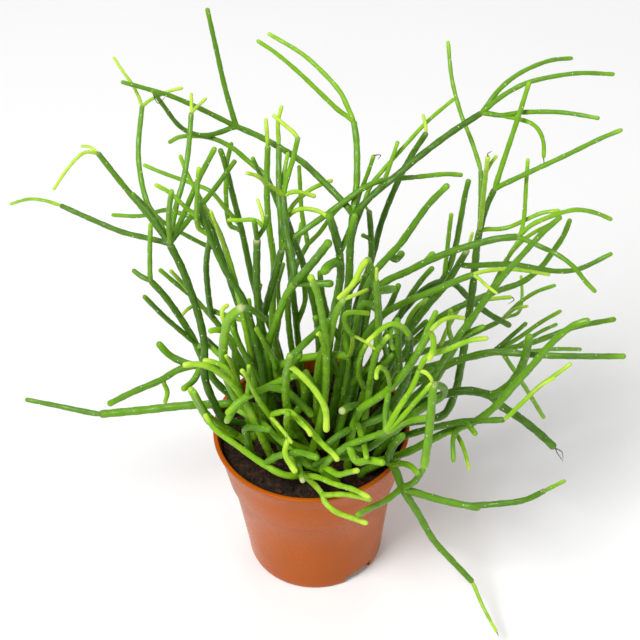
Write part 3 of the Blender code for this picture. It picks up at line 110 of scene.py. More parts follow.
# Settling: stems of the plant never pass through each other
SAMPLE = 4.0
CLEARANCE = 0.9
REACH = 34.0
SMOOTH_REACH = 16.0
SMOOTH_SHARE = 0.35
SMOOTH_ROUNDS = 200
NEAR_PATH = 22.0
NEAR_REACH = 16.0
DEEPEST_PUSH = 10.0
HARDLY_FREE = 0.05
ROUNDS = 300
REFRESH = 12
RELAX = 0.4
SIDEWAYS = 0.5
FIXED_LENGTH = 3.0
FREE_LENGTH = 26.0

# The place from which the plant was looked at. Stem routes below are points on that view, 640 wide and
# 640 high, and each stem's depth says how far behind (+) or before (-) the pot's axis its end lies.
EYE = np.array((0.0, -803.7, 984.1))
EYE_YAW = math.radians(0.54)
EYE_PITCH = math.radians(44.44)
EYE_ROLL = math.radians(-2.02)
EYE_FOCUS = 1948.8
VIEW_CENTRE = 320.0

# Every shoot: its name, the point of the view where it leaves the soil, and its stems.
# Every stem: the stem that it grows from, the depth of its end, or of its first point and its end, its
# width at the start and at the end, its youth from 0 (old, dark) to 1 (new, pale), and the points of the
# view that it passes.
SHOOTS = (
    ("crown_shoot", (330, 428), (
        (None, 25, 5.2, 4.4, 0.05, ((338, 385), (346, 330), (349, 285), (350, 250), (353, 214))),
        (0, 92, 4.0, 3.5, 0.05, ((353, 214), (336, 196), (320, 180), (300, 162), (265, 141), (236, 128))),
        (1, 112, 3.3, 2.6, 0.25, ((236, 128), (225, 90), (217, 55), (207, 10))),
        (1, 86, 3.2, 2.5, 0.2, ((236, 128), (200, 110), (170, 97), (150, 91), (121, 83))),
        (1, 70, 3.2, 2.4, 0.2, ((236, 128), (222, 134), (205, 138), (190, 135), (178, 127),
                                (165, 110), (152, 92))),
        (0, 62, 4.0, 3.6, 0.35, ((353, 214), (357, 184), (357, 143), (354, 120))),
        (5, 88, 3.0, 2.3, 0.6, ((354, 120), (340, 111), (325, 97), (300, 73), (275, 52), (257, 40))),
        (5, 108, 3.0, 2.3, 0.6, ((354, 120), (348, 107), (340, 91), (318, 67), (300, 52), (268, 33))),
        (0, 60, 4.0, 3.6, 0.0, ((353, 214), (371, 194), (389, 179), (418, 155), (450, 131), (481, 111))),
        (8, 96, 3.0, 2.4, 0.35, ((481, 111), (490, 98), (500, 86), (515, 74), (530, 66), (550, 59),
                                 (571, 57))),
        (8, 64, 3.0, 2.4, 0.35, ((481, 111), (495, 99), (510, 89), (530, 80), (575, 72), (613, 73))),
        (8, 30, 3.0, 2.3, 0.4, ((481, 111), (500, 114), (520, 111), (560, 111), (598, 117))),
        (11, 34, 2.7, 2.3, 0.6, ((500, 114), (518, 118), (530, 122), (538, 130), (542, 142), (542, 157))),
        (0, 4, 4.2, 3.6, 0.1, ((340, 374), (328, 352), (320, 334), (315, 316))),
    )),
    ("left_fan_shoot", (256, 430), (
        (None, (-6, 22), 5.0, 4.4, 0.0, ((224, 418), (213, 398), (206, 376), (206, 345), (201, 318),
                                         (194, 296), (184, 269), (171, 243))),
        (0, 54, 3.4, 3.0, 0.1, ((171, 242), (150, 238), (125, 232), (100, 222), (62, 205))),
        (1, 76, 2.2, 1.8, 0.75, ((62, 205), (45, 200), (30, 199), (12, 204))),
        (0, 50, 3.6, 3.2, 0.1, ((171, 242), (150, 215), (125, 185), (99, 152))),
        (3, 36, 2.2, 1.7, 0.85, ((99, 152), (85, 153), (70, 168), (55, 190))),
        (3, 62, 1.9, 1.6, 0.95, ((99, 152), (92, 147), (83, 146))),
        (0, 88, 3.4, 2.9, 0.4, ((171, 242), (160, 220), (150, 205), (143, 180), (140, 150), (144, 105))),
        (6, 104, 2.1, 1.7, 0.8, ((144, 105), (135, 86), (125, 72), (115, 57))),
        (6, 92, 2.1, 1.8, 0.8, ((144, 105), (158, 97), (172, 91), (185, 88))),
        (0, 72, 3.4, 2.9, 0.3, ((171, 242), (178, 205), (185, 180), (190, 150), (193, 112))),
        (9, 84, 2.2, 1.8, 0.85, ((193, 112), (193, 93))),
        (9, 66, 2.1, 1.8, 0.85, ((193, 112), (208, 98))),
        (0, 34, 3.4, 3.0, 0.35, ((171, 242), (185, 215), (200, 180), (217, 147))),
        (0, 6, 3.4, 3.1, 0.45, ((171, 242), (170, 215), (173, 190))),
        (0, 80, 3.2, 2.9, 0.3, ((171, 242), (190, 220), (215, 190), (237, 160))),
        (0, 10, 2.9, 2.6, 0.15, ((171, 242), (152, 212), (134, 193))),
    )),
    ("twin_shoot", (276, 418), (
        (None, 12, 5.0, 4.3, 0.05, ((252, 378), (246, 345), (256, 315), (265, 285), (275, 247))),
        (0, 55, 3.6, 3.2, 0.2, ((275, 247), (274, 220), (272, 192), (272, 141))),
        (1, 60, 2.7, 2.2, 0.8, ((272, 141), (271, 120), (275, 103))),
        (0, 40, 3.8, 3.0, 0.3, ((275, 247), (290, 236), (320, 216), (340, 202), (361, 188),
                                (380, 181), (412, 178))),
        (3, 46, 2.9, 2.6, 0.35, ((412, 178), (442, 175), (459, 176))),
        (0, 14, 3.6, 3.2, 0.2, ((250, 370), (240, 350), (233, 334), (230, 318))),
    )),
    ("silver_shoot", (292, 402), (
        (None, 62, 4.6, 3.4, 0.4, ((282, 372), (273, 330), (273, 300), (274, 262), (269, 225),
                                   (267, 190), (268, 145))),
        (0, 70, 2.6, 2.2, 0.85, ((268, 145), (266, 118))),
        (0, 60, 3.2, 2.8, 0.3, ((273, 318), (284, 306), (296, 292))),
    )),
    ("joined_shoot", (278, 436), (
        (None, -16, 5.2, 4.6, 0.4, ((266, 392), (262, 350), (270, 325), (280, 300), (289, 286))),
        (0, 20, 4.3, 3.6, 0.1, ((289, 286), (286, 262), (280, 235), (277, 197))),
        (1, 36, 3.3, 2.9, 0.5, ((277, 197), (281, 180), (287, 160), (292, 138))),
        (2, 44, 2.6, 2.1, 0.9, ((292, 138), (280, 128), (266, 116))),
        (1, 8, 2.8, 2.2, 0.8, ((277, 197), (262, 187), (250, 178), (239, 175))),
        (1, 22, 2.8, 2.4, 0.8, ((277, 197), (290, 194), (310, 199))),
        (0, -34, 4.8, 4.6, 0.25, ((289, 286), (297, 277), (310, 262), (324, 244))),
        (0, -20, 4.4, 4.4, 0.2, ((289, 286), (302, 287), (328, 287))),
        (0, -30, 4.4, 4.0, 0.15, ((267, 396), (278, 384), (287, 370), (297, 356))),
    )),
    ("bright_fork_shoot", (306, 412), (
        (None, 30, 4.8, 3.8, 0.1, ((318, 370), (317, 320), (303, 264), (293, 238), (286, 217))),
        (0, 20, 2.9, 2.4, 0.75, ((286, 217), (300, 209), (318, 211), (331, 219))),
        (0, 48, 2.8, 2.4, 0.75, ((286, 217), (294, 203), (310, 189), (322, 183), (333, 179))),
        (0, 54, 2.7, 2.3, 0.6, ((286, 217), (281, 203), (283, 180), (288, 152))),
    )),
    ("slim_fork_shoot", (300, 394), (
        (None, 50, 4.4, 3.2, 0.3, ((292, 350), (288, 300), (296, 266), (308, 244))),
        (0, 74, 2.9, 2.4, 0.5, ((308, 244), (302, 214), (300, 184), (299, 165))),
        (0, 58, 2.9, 2.5, 0.4, ((308, 244), (320, 232), (333, 214), (346, 202))),
    )),
    ("top_spray_shoot", (388, 438), (
        (None, (-4, 14), 5.2, 4.2, 0.05, ((404, 424), (428, 420), (444, 415), (455, 392), (460, 368),
                                          (465, 338),
                                    (469, 310), (473, 280), (476, 248), (479, 231))),
        (0, 20, 4.0, 3.4, 0.05, ((479, 231), (485, 210), (494, 190))),
        (1, 48, 3.2, 2.6, 0.45, ((494, 190), (500, 171), (508, 147), (519, 114), (529, 82))),
        (1, 16, 3.1, 2.5, 0.3, ((494, 190), (526, 175), (565, 157), (600, 140), (622, 131))),
        (0, 44, 3.1, 2.8, 0.3, ((479, 231), (480, 204), (480, 171))),
        (4, 100, 2.7, 2.3, 0.5, ((480, 171), (471, 143), (460, 115), (451, 80), (447, 42))),
        (0, -6, 2.9, 2.6, 0.75, ((479, 231), (482, 204), (485, 175), (487, 158))),
        (6, -2, 2.2, 2.0, 0.75, ((485, 172), (490, 165), (496, 157))),
        (0, 12, 2.7, 2.3, 0.65, ((479, 231), (504, 230), (524, 222), (540, 215), (559, 212))),
    )),
    ("right_arch_shoot", (342, 446), (
        (None, -22, 5.0, 3.8, 0.15, ((352, 392), (358, 340), (368, 294), (384, 281), (402, 273), (426, 261),
                                     (451, 251), (475, 244), (495, 239), (516, 237))),
        (0, -8, 2.8, 2.4, 0.6, ((516, 237), (528, 226), (540, 220), (559, 213), (575, 210),
                                (593, 213), (610, 220))),
        (0, -52, 3.0, 2.5, 0.35, ((516, 237), (538, 247), (555, 255), (571, 267), (585, 284), (594, 293))),
        (0, -10, 3.8, 3.6, 0.3, ((424, 262), (431, 253))),
    )),
    ("right_light_shoot", (382, 424), (
        (None, 0, 4.8, 3.0, 0.5, ((405, 410), (432, 386), (455, 350), (479, 312), (496, 286), (510, 259))),
        (0, 30, 2.6, 2.3, 0.6, ((510, 259), (521, 241), (526, 220), (528, 190), (530, 160))),
        (0, -14, 2.6, 2.2, 0.55, ((510, 259), (518, 249), (532, 237), (553, 226))),
        (0, -4, 3.2, 2.8, 0.5, ((455, 350), (450, 330), (452, 310))),
    )),
    ("right_straight_shoot", (356, 452), (
        (None, -38, 4.8, 3.0, 0.25, ((390, 418), (425, 392), (455, 350), (476, 320), (504, 280), (524, 257),
                                     (544, 235), (563, 218))),
        (0, -26, 3.4, 2.9, 0.35, ((455, 350), (470, 336), (488, 328))),
    )),
    ("right_curved_shoot", (362, 410), (
        (None, 30, 4.8, 3.1, 0.3, ((384, 384), (404, 352), (440, 316), (472, 300), (500, 289), (522, 281),
                                   (540, 267), (553, 250), (563, 235), (570, 218))),
        (0, 8, 3.4, 3.0, 0.2, ((393, 370), (392, 350), (386, 330))),
    )),
    ("right_dark_shoot", (352, 424), (
        (None, -4, 5.0, 3.8, 0.1, ((378, 384), (405, 336), (428, 305), (443, 288), (456, 268), (467, 250))),
        (0, -8, 2.4, 1.9, 0.95, ((467, 250), (472, 233))),
        (0, 6, 3.5, 2.7, 0.25, ((459, 263), (489, 261), (510, 260), (534, 264), (555, 267),
                                (577, 265), (611, 249))),
        (0, 12, 3.0, 2.6, 0.55, ((404, 338), (407, 322), (416, 308), (428, 299))),
        (0, -16, 3.6, 3.0, 0.35, ((381, 379), (386, 358), (381, 338))),
    )),
    ("right_bright_shoot", (338, 458), (
        (None, -34, 4.8, 3.6, 0.3, ((346, 390), (356, 345), (374, 318), (400, 302), (430, 290),
                                    (455, 279), (471, 273))),
        (0, -28, 2.6, 1.9, 0.85, ((471, 273), (483, 270), (504, 268), (524, 270), (548, 274))),
        (0, -44, 2.2, 1.7, 0.9, ((471, 273), (483, 284), (495, 293))),
        (0, -36, 4.0, 3.4, 0.3, ((347, 386), (360, 374), (373, 366), (386, 364))),
    )),
    ("right_droop_shoot", (350, 402), (
        (None, 36, 4.6, 3.6, 0.0, ((372, 360), (398, 318), (424, 290), (444, 282), (455, 286), (470, 301),
                                   (490, 316), (510, 327))),
        (0, 24, 3.6, 3.2, 0.2, ((398, 318), (408, 300), (422, 280), (433, 268))),
        (0, 30, 3.2, 2.8, 0.3, ((378, 350), (392, 338), (410, 330))),
    )),
    ("straight_back_shoot", (340, 396), (
        (None, 66, 4.4, 3.4, 0.1, ((346, 350), (358, 300), (373, 255), (381, 224), (395, 188),
                                   (410, 158), (427, 132))),
        (0, 74, 2.2, 1.8, 0.9, ((427, 132), (423, 114))),
    )),
    ("thin_pair_shoot", (330, 396), (
        (None, 40, 4.2, 3.2, 0.3, ((336, 350), (345, 300), (348, 262), (352, 232), (362, 204))),
        (0, 82, 2.7, 2.2, 0.6, ((362, 204), (370, 187), (384, 170), (401, 151), (425, 125), (453, 101))),
        (0, 60, 2.7, 2.3, 0.5, ((362, 204), (376, 190), (383, 178), (389, 161), (395, 143))),
        (0, 30, 2.6, 2.4, 0.5, ((352, 232), (356, 200), (365, 175), (371, 157))),
        (0, 24, 3.6, 3.2, 0.15, ((338, 340), (328, 318), (322, 296), (319, 272))),
        (0, 30, 3.2, 2.8, 0.3, ((345, 300), (354, 286), (366, 276))),
    )),
    ("olive_stub_shoot", (322, 440), (
        (None, -20, 5.2, 4.4, 0.1, ((330, 380), (340, 320), (347, 280), (346, 254))),
        (0, -24, 4.6, 4.6, 0.0, ((346, 254), (341, 235), (335, 216))),
        (0, -12, 3.6, 3.2, 0.3, ((346, 254), (355, 235), (362, 215))),
        (0, -34, 5.4, 5.0, 0.25, ((346, 262), (337, 266), (329, 275))),
    )),
    ("inner_tall_shoot", (342, 410), (
        (None, 44, 4.6, 3.4, 0.15, ((356, 360), (366, 310), (371, 262), (371, 235), (369, 210))),
        (0, 50, 2.2, 1.8, 0.85, ((369, 210), (362, 203))),
        (0, 36, 2.6, 2.6, 0.2, ((371, 240), (362, 235))),
        (0, 20, 3.8, 3.4, 0.1, ((360, 345), (378, 322), (390, 305), (399, 284))),
    )),
    ("diagonal_shoot", (334, 452), (
        (None, -14, 5.0, 3.4, 0.25, ((344, 400), (352, 350), (362, 300), (375, 273), (387, 259), (402, 243),
                                     (418, 220), (430, 204), (449, 185))),
        (0, -6, 2.9, 2.5, 0.6, ((395, 250), (408, 232), (418, 218))),
        (0, -4, 4.2, 4.2, 0.15, ((389, 258), (397, 260), (403, 252))),
    )),
    ("upright_pair_shoot", (364, 396), (
        (None, 44, 4.6, 3.2, 0.2, ((390, 350), (418, 310), (444, 275), (453, 249), (458, 224),
                                   (463, 196), (467, 180))),
        (0, 36, 2.9, 2.6, 0.5, ((444, 275), (446, 249), (448, 230), (450, 214))),
        (0, 20, 3.6, 3.0, 0.15, ((387, 355), (400, 346), (414, 334), (428, 322))),
    )),
    ("left_long_shoot", (262, 420), (
        (None, 14, 4.8, 3.8, 0.1, ((236, 402), (214, 384), (202, 366), (192, 346), (175, 320),
                                   (161, 300), (147, 285))),
        (0, 12, 3.0, 2.7, 0.5, ((147, 285), (147, 255), (148, 228))),
        (0, 20, 3.2, 2.9, 0.15, ((147, 285), (138, 281), (129, 274))),
        (0, 4, 3.2, 3.0, 0.1, ((190, 348), (176, 332), (160, 318), (141, 299))),
        (0, -12, 3.4, 3.0, 0.5, ((194, 349), (205, 349), (215, 358), (225, 366))),
    )),
    ("left_spray_shoot", (266, 408), (
        (None, 40, 4.8, 3.6, 0.2, ((244, 372), (228, 345), (214, 325), (200, 310))),
        (0, 44, 3.2, 2.8, 0.2, ((200, 310), (190, 300), (175, 288), (155, 271))),
        (0, 34, 2.9, 2.5, 0.75, ((200, 310), (188, 297), (178, 285), (166, 272))),
        (0, 30, 2.4, 2.0, 0.7, ((200, 310), (190, 308), (183, 312), (177, 319))),
        (0, 20, 3.8, 3.4, 0.2, ((208, 320), (205, 295), (203, 265), (208, 233))),
        (0, 10, 3.4, 3.0, 0.5, ((200, 311), (215, 316), (235, 322), (247, 326))),
        (0, 8, 3.8, 3.4, 0.2, ((245, 374), (228, 366), (213, 355), (199, 343))),
    )),
    ("left_lattice_shoot", (280, 400), (
        (None, 66, 4.6, 3.4, 0.15, ((262, 345), (240, 300), (226, 260), (216, 232), (208, 205))),
        (0, 84, 2.9, 2.4, 0.4, ((216, 232), (200, 217), (184, 211), (169, 207), (143, 213), (114, 212))),
        (0, 78, 2.8, 2.3, 0.6, ((208, 205), (196, 184), (188, 168), (182, 152))),
        (0, 60, 2.8, 2.3, 0.4, ((222, 246), (210, 243), (188, 232), (167, 220), (151, 206), (135, 193))),
        (0, 58, 3.4, 3.0, 0.25, ((262, 345), (262, 320), (258, 300), (262, 280))),
        (0, 50, 3.4, 3.0, 0.3, ((261, 342), (252, 318), (250, 296))),
    )),
    ("left_lattice_back_shoot", (288, 392), (
        (None, 80, 4.4, 3.4, 0.1, ((276, 340), (256, 290), (243, 231), (233, 190), (226, 160), (221, 146))),
        (0, 104, 2.9, 2.4, 0.45, ((240, 222), (226, 206), (212, 190), (196, 183), (163, 171), (144, 163))),
        (0, 92, 3.1, 2.6, 0.45, ((243, 231), (230, 224), (226, 194), (227, 163), (232, 141))),
        (0, 70, 3.4, 3.0, 0.2, ((276, 340), (280, 310), (278, 285), (284, 262))),
    )),
    ("long_arc_shoot", (300, 380), (
        (None, 72, 4.4, 3.4, 0.2, ((296, 330), (290, 280), (282, 220), (265, 175))),
        (0, 92, 3.2, 2.5, 0.4, ((265, 175), (245, 159), (231, 147), (212, 137), (194, 134),
                                (177, 135), (166, 141))),
        (0, 60, 3.0, 2.6, 0.4, ((272, 194), (262, 180), (251, 157))),
        (0, 58, 3.4, 3.0, 0.3, ((295, 325), (304, 300), (303, 280), (308, 262))),
        (0, 90, 3.0, 2.6, 0.5, ((288, 265), (297, 240), (300, 222))),
    )),
    ("left_yellow_shoot", (268, 442), (
        (None, 14, 4.6, 3.0, 0.6, ((258, 400), (250, 355), (243, 320), (235, 286), (226, 255),
                                   (216, 229), (202, 208))),
        (0, 0, 2.4, 2.0, 0.8, ((226, 255), (217, 232), (210, 213))),
    )),
    ("left_inner_shoot", (272, 452), (
        (None, 10, 4.8, 3.4, 0.1, ((268, 400), (262, 350), (250, 304), (232, 275), (217, 243),
                                   (209, 222), (202, 195))),
        (0, 16, 2.8, 2.4, 0.65, ((209, 222), (190, 208), (175, 194), (159, 185))),
        (0, 0, 3.0, 2.6, 0.5, ((214, 236), (203, 228), (202, 200), (204, 168))),
        (0, 2, 3.8, 3.2, 0.2, ((266, 386), (253, 364), (243, 346), (236, 330))),
    )),
    ("post_shoot", (296, 430), (
        (None, 2, 4.8, 4.2, 0.0, ((280, 380), (262, 330), (257, 290), (257, 240))),
        (0, -2, 3.2, 3.0, 0.1, ((257, 240), (254, 222))),
        (0, 8, 3.0, 2.6, 0.2, ((257, 240), (265, 228), (267, 216))),
        (2, 14, 2.7, 2.3, 0.65, ((265, 228), (255, 222), (240, 222), (227, 222))),
        (2, 16, 2.2, 1.9, 0.9, ((265, 228), (262, 215), (257, 200))),
    )),
    ("left_trail_shoot", (262, 412), (
        (None, (14, 8), 5.2, 5.0, 0.3, ((240, 404), (220, 405), (190, 406), (143, 411), (100, 415))),
        (0, 18, 3.8, 2.8, 0.25, ((100, 415), (80, 411), (61, 407), (26, 400))),
    )),
    ("left_low_shoot", (268, 400), (
        (None, 26, 4.8, 4.0, 0.3, ((244, 372), (216, 366), (196, 366), (180, 370), (163, 380),
                                   (133, 393), (109, 405))),
        (0, 22, 3.2, 2.8, 0.5, ((166, 379), (169, 392), (166, 404))),
        (0, 40, 4.6, 4.4, 0.2, ((196, 366), (180, 360), (170, 354), (159, 342))),
        (0, 8, 4.2, 3.8, 0.45, ((206, 366), (196, 380), (184, 390))),
    )),
    ("pale_arch_shoot", (282, 446), (
        (None, -34, 5.4, 5.2, 0.55, ((252, 420), (230, 392), (220, 362), (219, 335), (225, 313),
                                     (238, 302))),
        (0, -26, 4.2, 3.6, 0.1, ((238, 302), (250, 307), (262, 316))),
        (0, -20, 2.8, 2.4, 0.8, ((222, 325), (217, 305), (224, 300))),
    )),
    ("left_curl_shoot", (254, 440), (
        (None, -40, 4.6, 3.4, 0.6, ((243, 405), (237, 380), (236, 356), (228, 344), (220, 341),
                                    (211, 343))),
        (0, -36, 2.6, 2.2, 0.9, ((240, 392), (232, 372), (226, 361))),
    )),
    ("left_bow_shoot", (272, 462), (
        (None, (-34, -40), 5.0, 3.4, 0.7, ((262, 425), (243, 392), (225, 376), (210, 371), (193, 372))),
        (0, -34, 3.4, 2.8, 0.8, ((246, 397), (236, 377), (222, 370), (212, 369))),
    )),
    ("rim_left_shoot", (252, 446), (
        (None, (-10, -20), 4.8, 4.4, 0.6, ((240, 436), (216, 424), (204, 408), (193, 388))),
        (0, -26, 3.8, 3.4, 0.5, ((240, 436), (212, 419), (200, 402), (195, 392))),
    )),
    ("long_front_shoot", (312, 478), (
        (None, (-44, -22), 4.8, 3.2, 0.6, ((285, 474), (261, 461), (235, 442), (216, 428), (205, 412))),
        (0, -62, 4.4, 4.0, 0.35, ((262, 462), (278, 455), (297, 452), (317, 458))),
    )),
    ("front_cross_shoot", (338, 478), (
        (None, (-44, -20), 4.6, 3.4, 0.5, ((310, 468), (293, 455), (272, 437), (262, 427), (245, 418),
                                           (232, 411))),
        (0, -66, 3.8, 3.4, 0.4, ((294, 457), (297, 468), (301, 483))),
        (0, -58, 4.2, 3.8, 0.25, ((311, 468), (326, 462), (342, 459), (358, 461))),
    )),
    ("front_bow_shoot", (320, 462), (
        (None, -50, 4.6, 2.6, 0.7, ((285, 443), (265, 418), (250, 395), (241, 377), (236, 371))),
        (0, -56, 2.6, 2.2, 0.8, ((265, 418), (276, 430), (288, 446))),
        (0, -66, 3.6, 3.0, 0.75, ((268, 416), (285, 414), (295, 424), (303, 432), (307, 439))),
        (1, -66, 3.4, 3.8, 0.8, ((286, 443), (281, 455), (286, 466), (293, 476))),
    )),
    ("soil_dark_shoot", (262, 462), (
        (None, -44, 4.6, 4.2, 0.05, ((250, 452), (247, 436), (245, 430), (248, 427), (262, 428),
                                     (272, 429))),
    )),
    ("pale_cross_shoot", (298, 442), (
        (None, -46, 5.0, 4.4, 0.5, ((292, 425), (305, 400), (300, 378), (285, 382), (265, 391),
                                    (245, 400), (226, 417))),
        (0, -40, 4.2, 4.0, 0.5, ((245, 400), (234, 412), (226, 425))),
        (0, -30, 4.6, 4.2, 0.35, ((265, 391), (282, 394), (300, 406), (314, 421))),
        (0, -44, 3.0, 2.6, 0.6, ((248, 399), (249, 385), (249, 367))),
    )),
    ("bright_drop_shoot", (308, 452), (
        (None, -50, 4.8, 4.4, 0.45, ((292, 420), (287, 380), (292, 350))),
        (0, -66, 3.4, 3.8, 0.9, ((291, 360), (303, 371), (318, 388), (327, 405), (328, 428))),
        (0, -14, 4.2, 3.6, 0.25, ((292, 352), (308, 335), (325, 319), (340, 304))),
        (0, -74, 4.2, 3.2, 0.7, ((291, 412), (302, 418), (316, 433), (325, 443), (335, 452), (340, 459))),
        (0, -58, 4.4, 4.0, 0.4, ((299, 435), (290, 432), (286, 424), (287, 412))),
    )),
    ("pale_level_shoot", (318, 426), (
        (None, -30, 4.8, 4.4, 0.55, ((284, 398), (270, 378), (284, 370), (305, 368), (325, 367),
                                     (343, 369))),
        (0, -36, 3.4, 2.8, 0.4, ((343, 369), (341, 385), (336, 408))),
        (0, -44, 2.9, 2.6, 1.0, ((343, 369), (346, 358), (346, 346))),
        (2, -34, 3.4, 2.8, 0.6, ((346, 346), (340, 332), (341, 323), (352, 321), (366, 322))),
        (2, -50, 2.0, 1.5, 1.0, ((346, 346), (360, 353), (372, 362))),
        (0, -20, 3.8, 3.4, 0.35, ((343, 369), (339, 355), (337, 341))),
        (0, 0, 3.4, 3.0, 0.45, ((271, 377), (266, 360), (256, 342), (249, 330))),
    )),
    ("lime_tip_shoot", (326, 452), (
        (None, -58, 4.8, 3.8, 0.55, ((316, 405), (318, 360), (326, 345), (333, 318), (341, 303))),
        (0, -48, 2.4, 2.0, 0.95, ((341, 303), (352, 299), (366, 293))),
        (0, -40, 2.6, 2.2, 0.7, ((341, 303), (348, 291), (359, 281))),
    )),
    ("bright_post_shoot", (314, 466), (
        (None, -50, 4.8, 3.8, 0.5, ((322, 400), (325, 345), (321, 315), (316, 292), (309, 275))),
        (0, -56, 2.6, 2.2, 0.7, ((324, 352), (318, 330), (316, 333))),
        (0, -40, 4.2, 3.8, 0.25, ((321, 402), (313, 388), (303, 370))),
    )),
    ("pale_hook_shoot", (344, 460), (
        (None, -44, 5.0, 4.2, 0.35, ((356, 400), (366, 350), (366, 310), (362, 282), (355, 263))),
        (0, -70, 3.8, 2.4, 0.9, ((355, 263), (347, 277), (340, 290), (333, 297), (325, 304))),
        (0, -60, 4.6, 4.4, 0.45, ((354, 408), (345, 410), (335, 415))),
        (0, -26, 4.4, 4.2, 0.15, ((365, 314), (356, 309), (348, 313))),
        (0, -36, 3.4, 3.0, 0.6, ((357, 394), (351, 376), (352, 360), (359, 345))),
    )),
    ("lime_spike_shoot", (352, 462), (
        (None, -60, 4.6, 3.0, 0.4, ((366, 400), (372, 340), (371, 300), (371, 289))),
        (0, -62, 2.2, 1.8, 0.95, ((371, 289), (371, 277))),
        (0, -68, 3.4, 3.0, 0.55, ((366, 392), (372, 365), (378, 352), (386, 342))),
        (0, -44, 4.6, 4.6, 0.2, ((372, 302), (380, 299), (389, 298))),
        (0, -46, 3.6, 3.2, 0.2, ((367, 388), (380, 374), (390, 362))),
    )),
    ("arc_tip_shoot", (372, 446), (
        (None, -44, 5.0, 4.6, 0.0, ((392, 400), (404, 365), (405, 333))),
        (0, -60, 3.6, 2.6, 0.7, ((405, 333), (398, 325), (387, 322), (376, 328), (362, 341))),
        (0, -38, 4.0, 3.8, 0.25, ((397, 385), (395, 360), (394, 335), (393, 318))),
        (1, -54, 2.6, 2.4, 0.4, ((387, 322), (386, 335), (389, 348))),
        (0, -30, 4.0, 3.4, 0.2, ((398, 383), (412, 372), (430, 366))),
    )),
    ("broad_bright_shoot", (346, 470), (
        (None, -52, 5.0, 4.2, 0.55, ((352, 430), (360, 409), (376, 398), (392, 385), (407, 367),
                                     (419, 348), (430, 329))),
        (0, -40, 2.9, 2.3, 0.75, ((430, 329), (440, 320), (452, 316), (464, 317))),
        (0, -60, 3.6, 3.2, 0.7, ((430, 329), (433, 344), (428, 360))),
        (0, -76, 3.8, 3.2, 0.5, ((354, 424), (358, 438), (361, 450), (363, 461))),
        (0, -62, 2.8, 2.6, 0.75, ((391, 386), (386, 372), (379, 366), (376, 370), (376, 379))),
        (0, -30, 3.4, 3.0, 0.4, ((419, 349), (426, 330), (436, 309))),
        (0, -34, 4.8, 4.6, 0.1, ((353, 427), (366, 423), (380, 418), (392, 412))),
        (0, -44, 4.2, 3.8, 0.15, ((353, 427), (344, 432), (334, 438), (324, 447))),
    )),
    ("star_shoot", (338, 484), (
        (None, -72, 4.6, 3.6, 0.45, ((322, 470), (345, 448), (365, 440), (387, 432))),
        (0, -58, 3.8, 3.0, 0.7, ((387, 432), (400, 410), (414, 388), (421, 370))),
        (1, -48, 3.4, 2.8, 0.75, ((421, 370), (428, 358), (450, 350), (470, 342), (490, 339))),
        (0, -66, 4.6, 4.0, 0.45, ((387, 432), (405, 421), (430, 417))),
        (1, -64, 2.6, 2.2, 0.95, ((421, 370), (430, 376), (434, 384))),
        (0, -80, 3.8, 3.2, 0.6, ((326, 467), (337, 475), (348, 473), (358, 471))),
        (0, -80, 4.4, 4.2, 0.55, ((352, 446), (356, 462), (370, 461), (385, 464))),
        (0, -52, 3.8, 3.4, 0.3, ((387, 432), (386, 415), (389, 392))),
        (0, -62, 3.2, 2.8, 0.6, ((387, 432), (400, 421), (417, 402), (433, 384))),
        (0, -58, 4.2, 3.8, 0.1, ((352, 446), (368, 449), (384, 438), (401, 428))),
    )),
    ("hanging_shoot", (376, 462), (
        (None, -72, 4.8, 4.2, 0.1, ((404, 422), (426, 406), (442, 396), (444, 388), (434, 384))),
        (0, -84, 4.6, 4.8, 0.4, ((434, 384), (432, 398), (431, 412), (428, 440), (424, 468))),
    )),
    ("right_fan_shoot", (378, 464), (
        (None, (-32, -42), 5.0, 3.8, 0.3, ((397, 456), (414, 449), (446, 432), (473, 422), (493, 408),
                                           (516, 383), (534, 363),
                                    (546, 349), (561, 334), (578, 323), (590, 320))),
        (0, -62, 3.2, 2.8, 0.35, ((473, 422), (454, 434), (453, 462))),
        (0, -66, 3.0, 2.0, 0.65, ((448, 431), (456, 434), (464, 450), (469, 470))),
    )),
    ("right_dark_arch_shoot", (374, 442), (
        (None, -26, 5.4, 4.8, 0.05, ((420, 404), (461, 391), (489, 395), (500, 405), (520, 418),
                                     (540, 434), (555, 448))),
        (0, -22, 5.2, 4.8, 0.1, ((491, 397), (508, 385), (520, 369), (526, 352), (530, 333))),
    )),
    ("right_lime_shoot", (386, 452), (
        (None, (-34, -50), 4.6, 3.6, 0.2, ((424, 432), (462, 424), (480, 423), (506, 422))),
        (0, -40, 2.9, 2.4, 0.8, ((506, 422), (524, 404), (540, 389), (557, 377), (572, 366))),
        (1, -46, 2.2, 1.8, 0.85, ((528, 400), (540, 389), (556, 380))),
        (0, -58, 3.4, 3.2, 0.3, ((465, 424), (471, 429), (477, 437))),
    )),
    ("right_level_shoot", (368, 430), (
        (None, -34, 4.8, 3.4, 0.25, ((404, 392), (442, 369), (463, 360), (487, 354), (504, 354), (540, 357),
                                     (581, 358), (626, 358))),
        (0, 10, 2.8, 2.4, 0.4, ((520, 355), (551, 351), (581, 351))),
        (0, -10, 2.9, 2.6, 0.6, ((500, 354), (504, 357), (516, 375), (530, 397), (544, 420))),
    )),
    ("right_rise_shoot", (374, 402), (
        (None, 40, 4.6, 3.2, 0.2, ((396, 376), (430, 366), (463, 359), (504, 350), (534, 342),
                                   (561, 332), (579, 326), (616, 319))),
        (0, 56, 2.7, 2.3, 0.4, ((520, 346), (538, 333), (557, 324))),
        (0, 60, 2.9, 2.5, 0.4, ((493, 352), (520, 336), (540, 322), (561, 310))),
        (0, 48, 2.9, 2.6, 0.2, ((493, 352), (512, 336), (527, 323))),
    )),
    ("right_mid_shoot", (370, 386), (
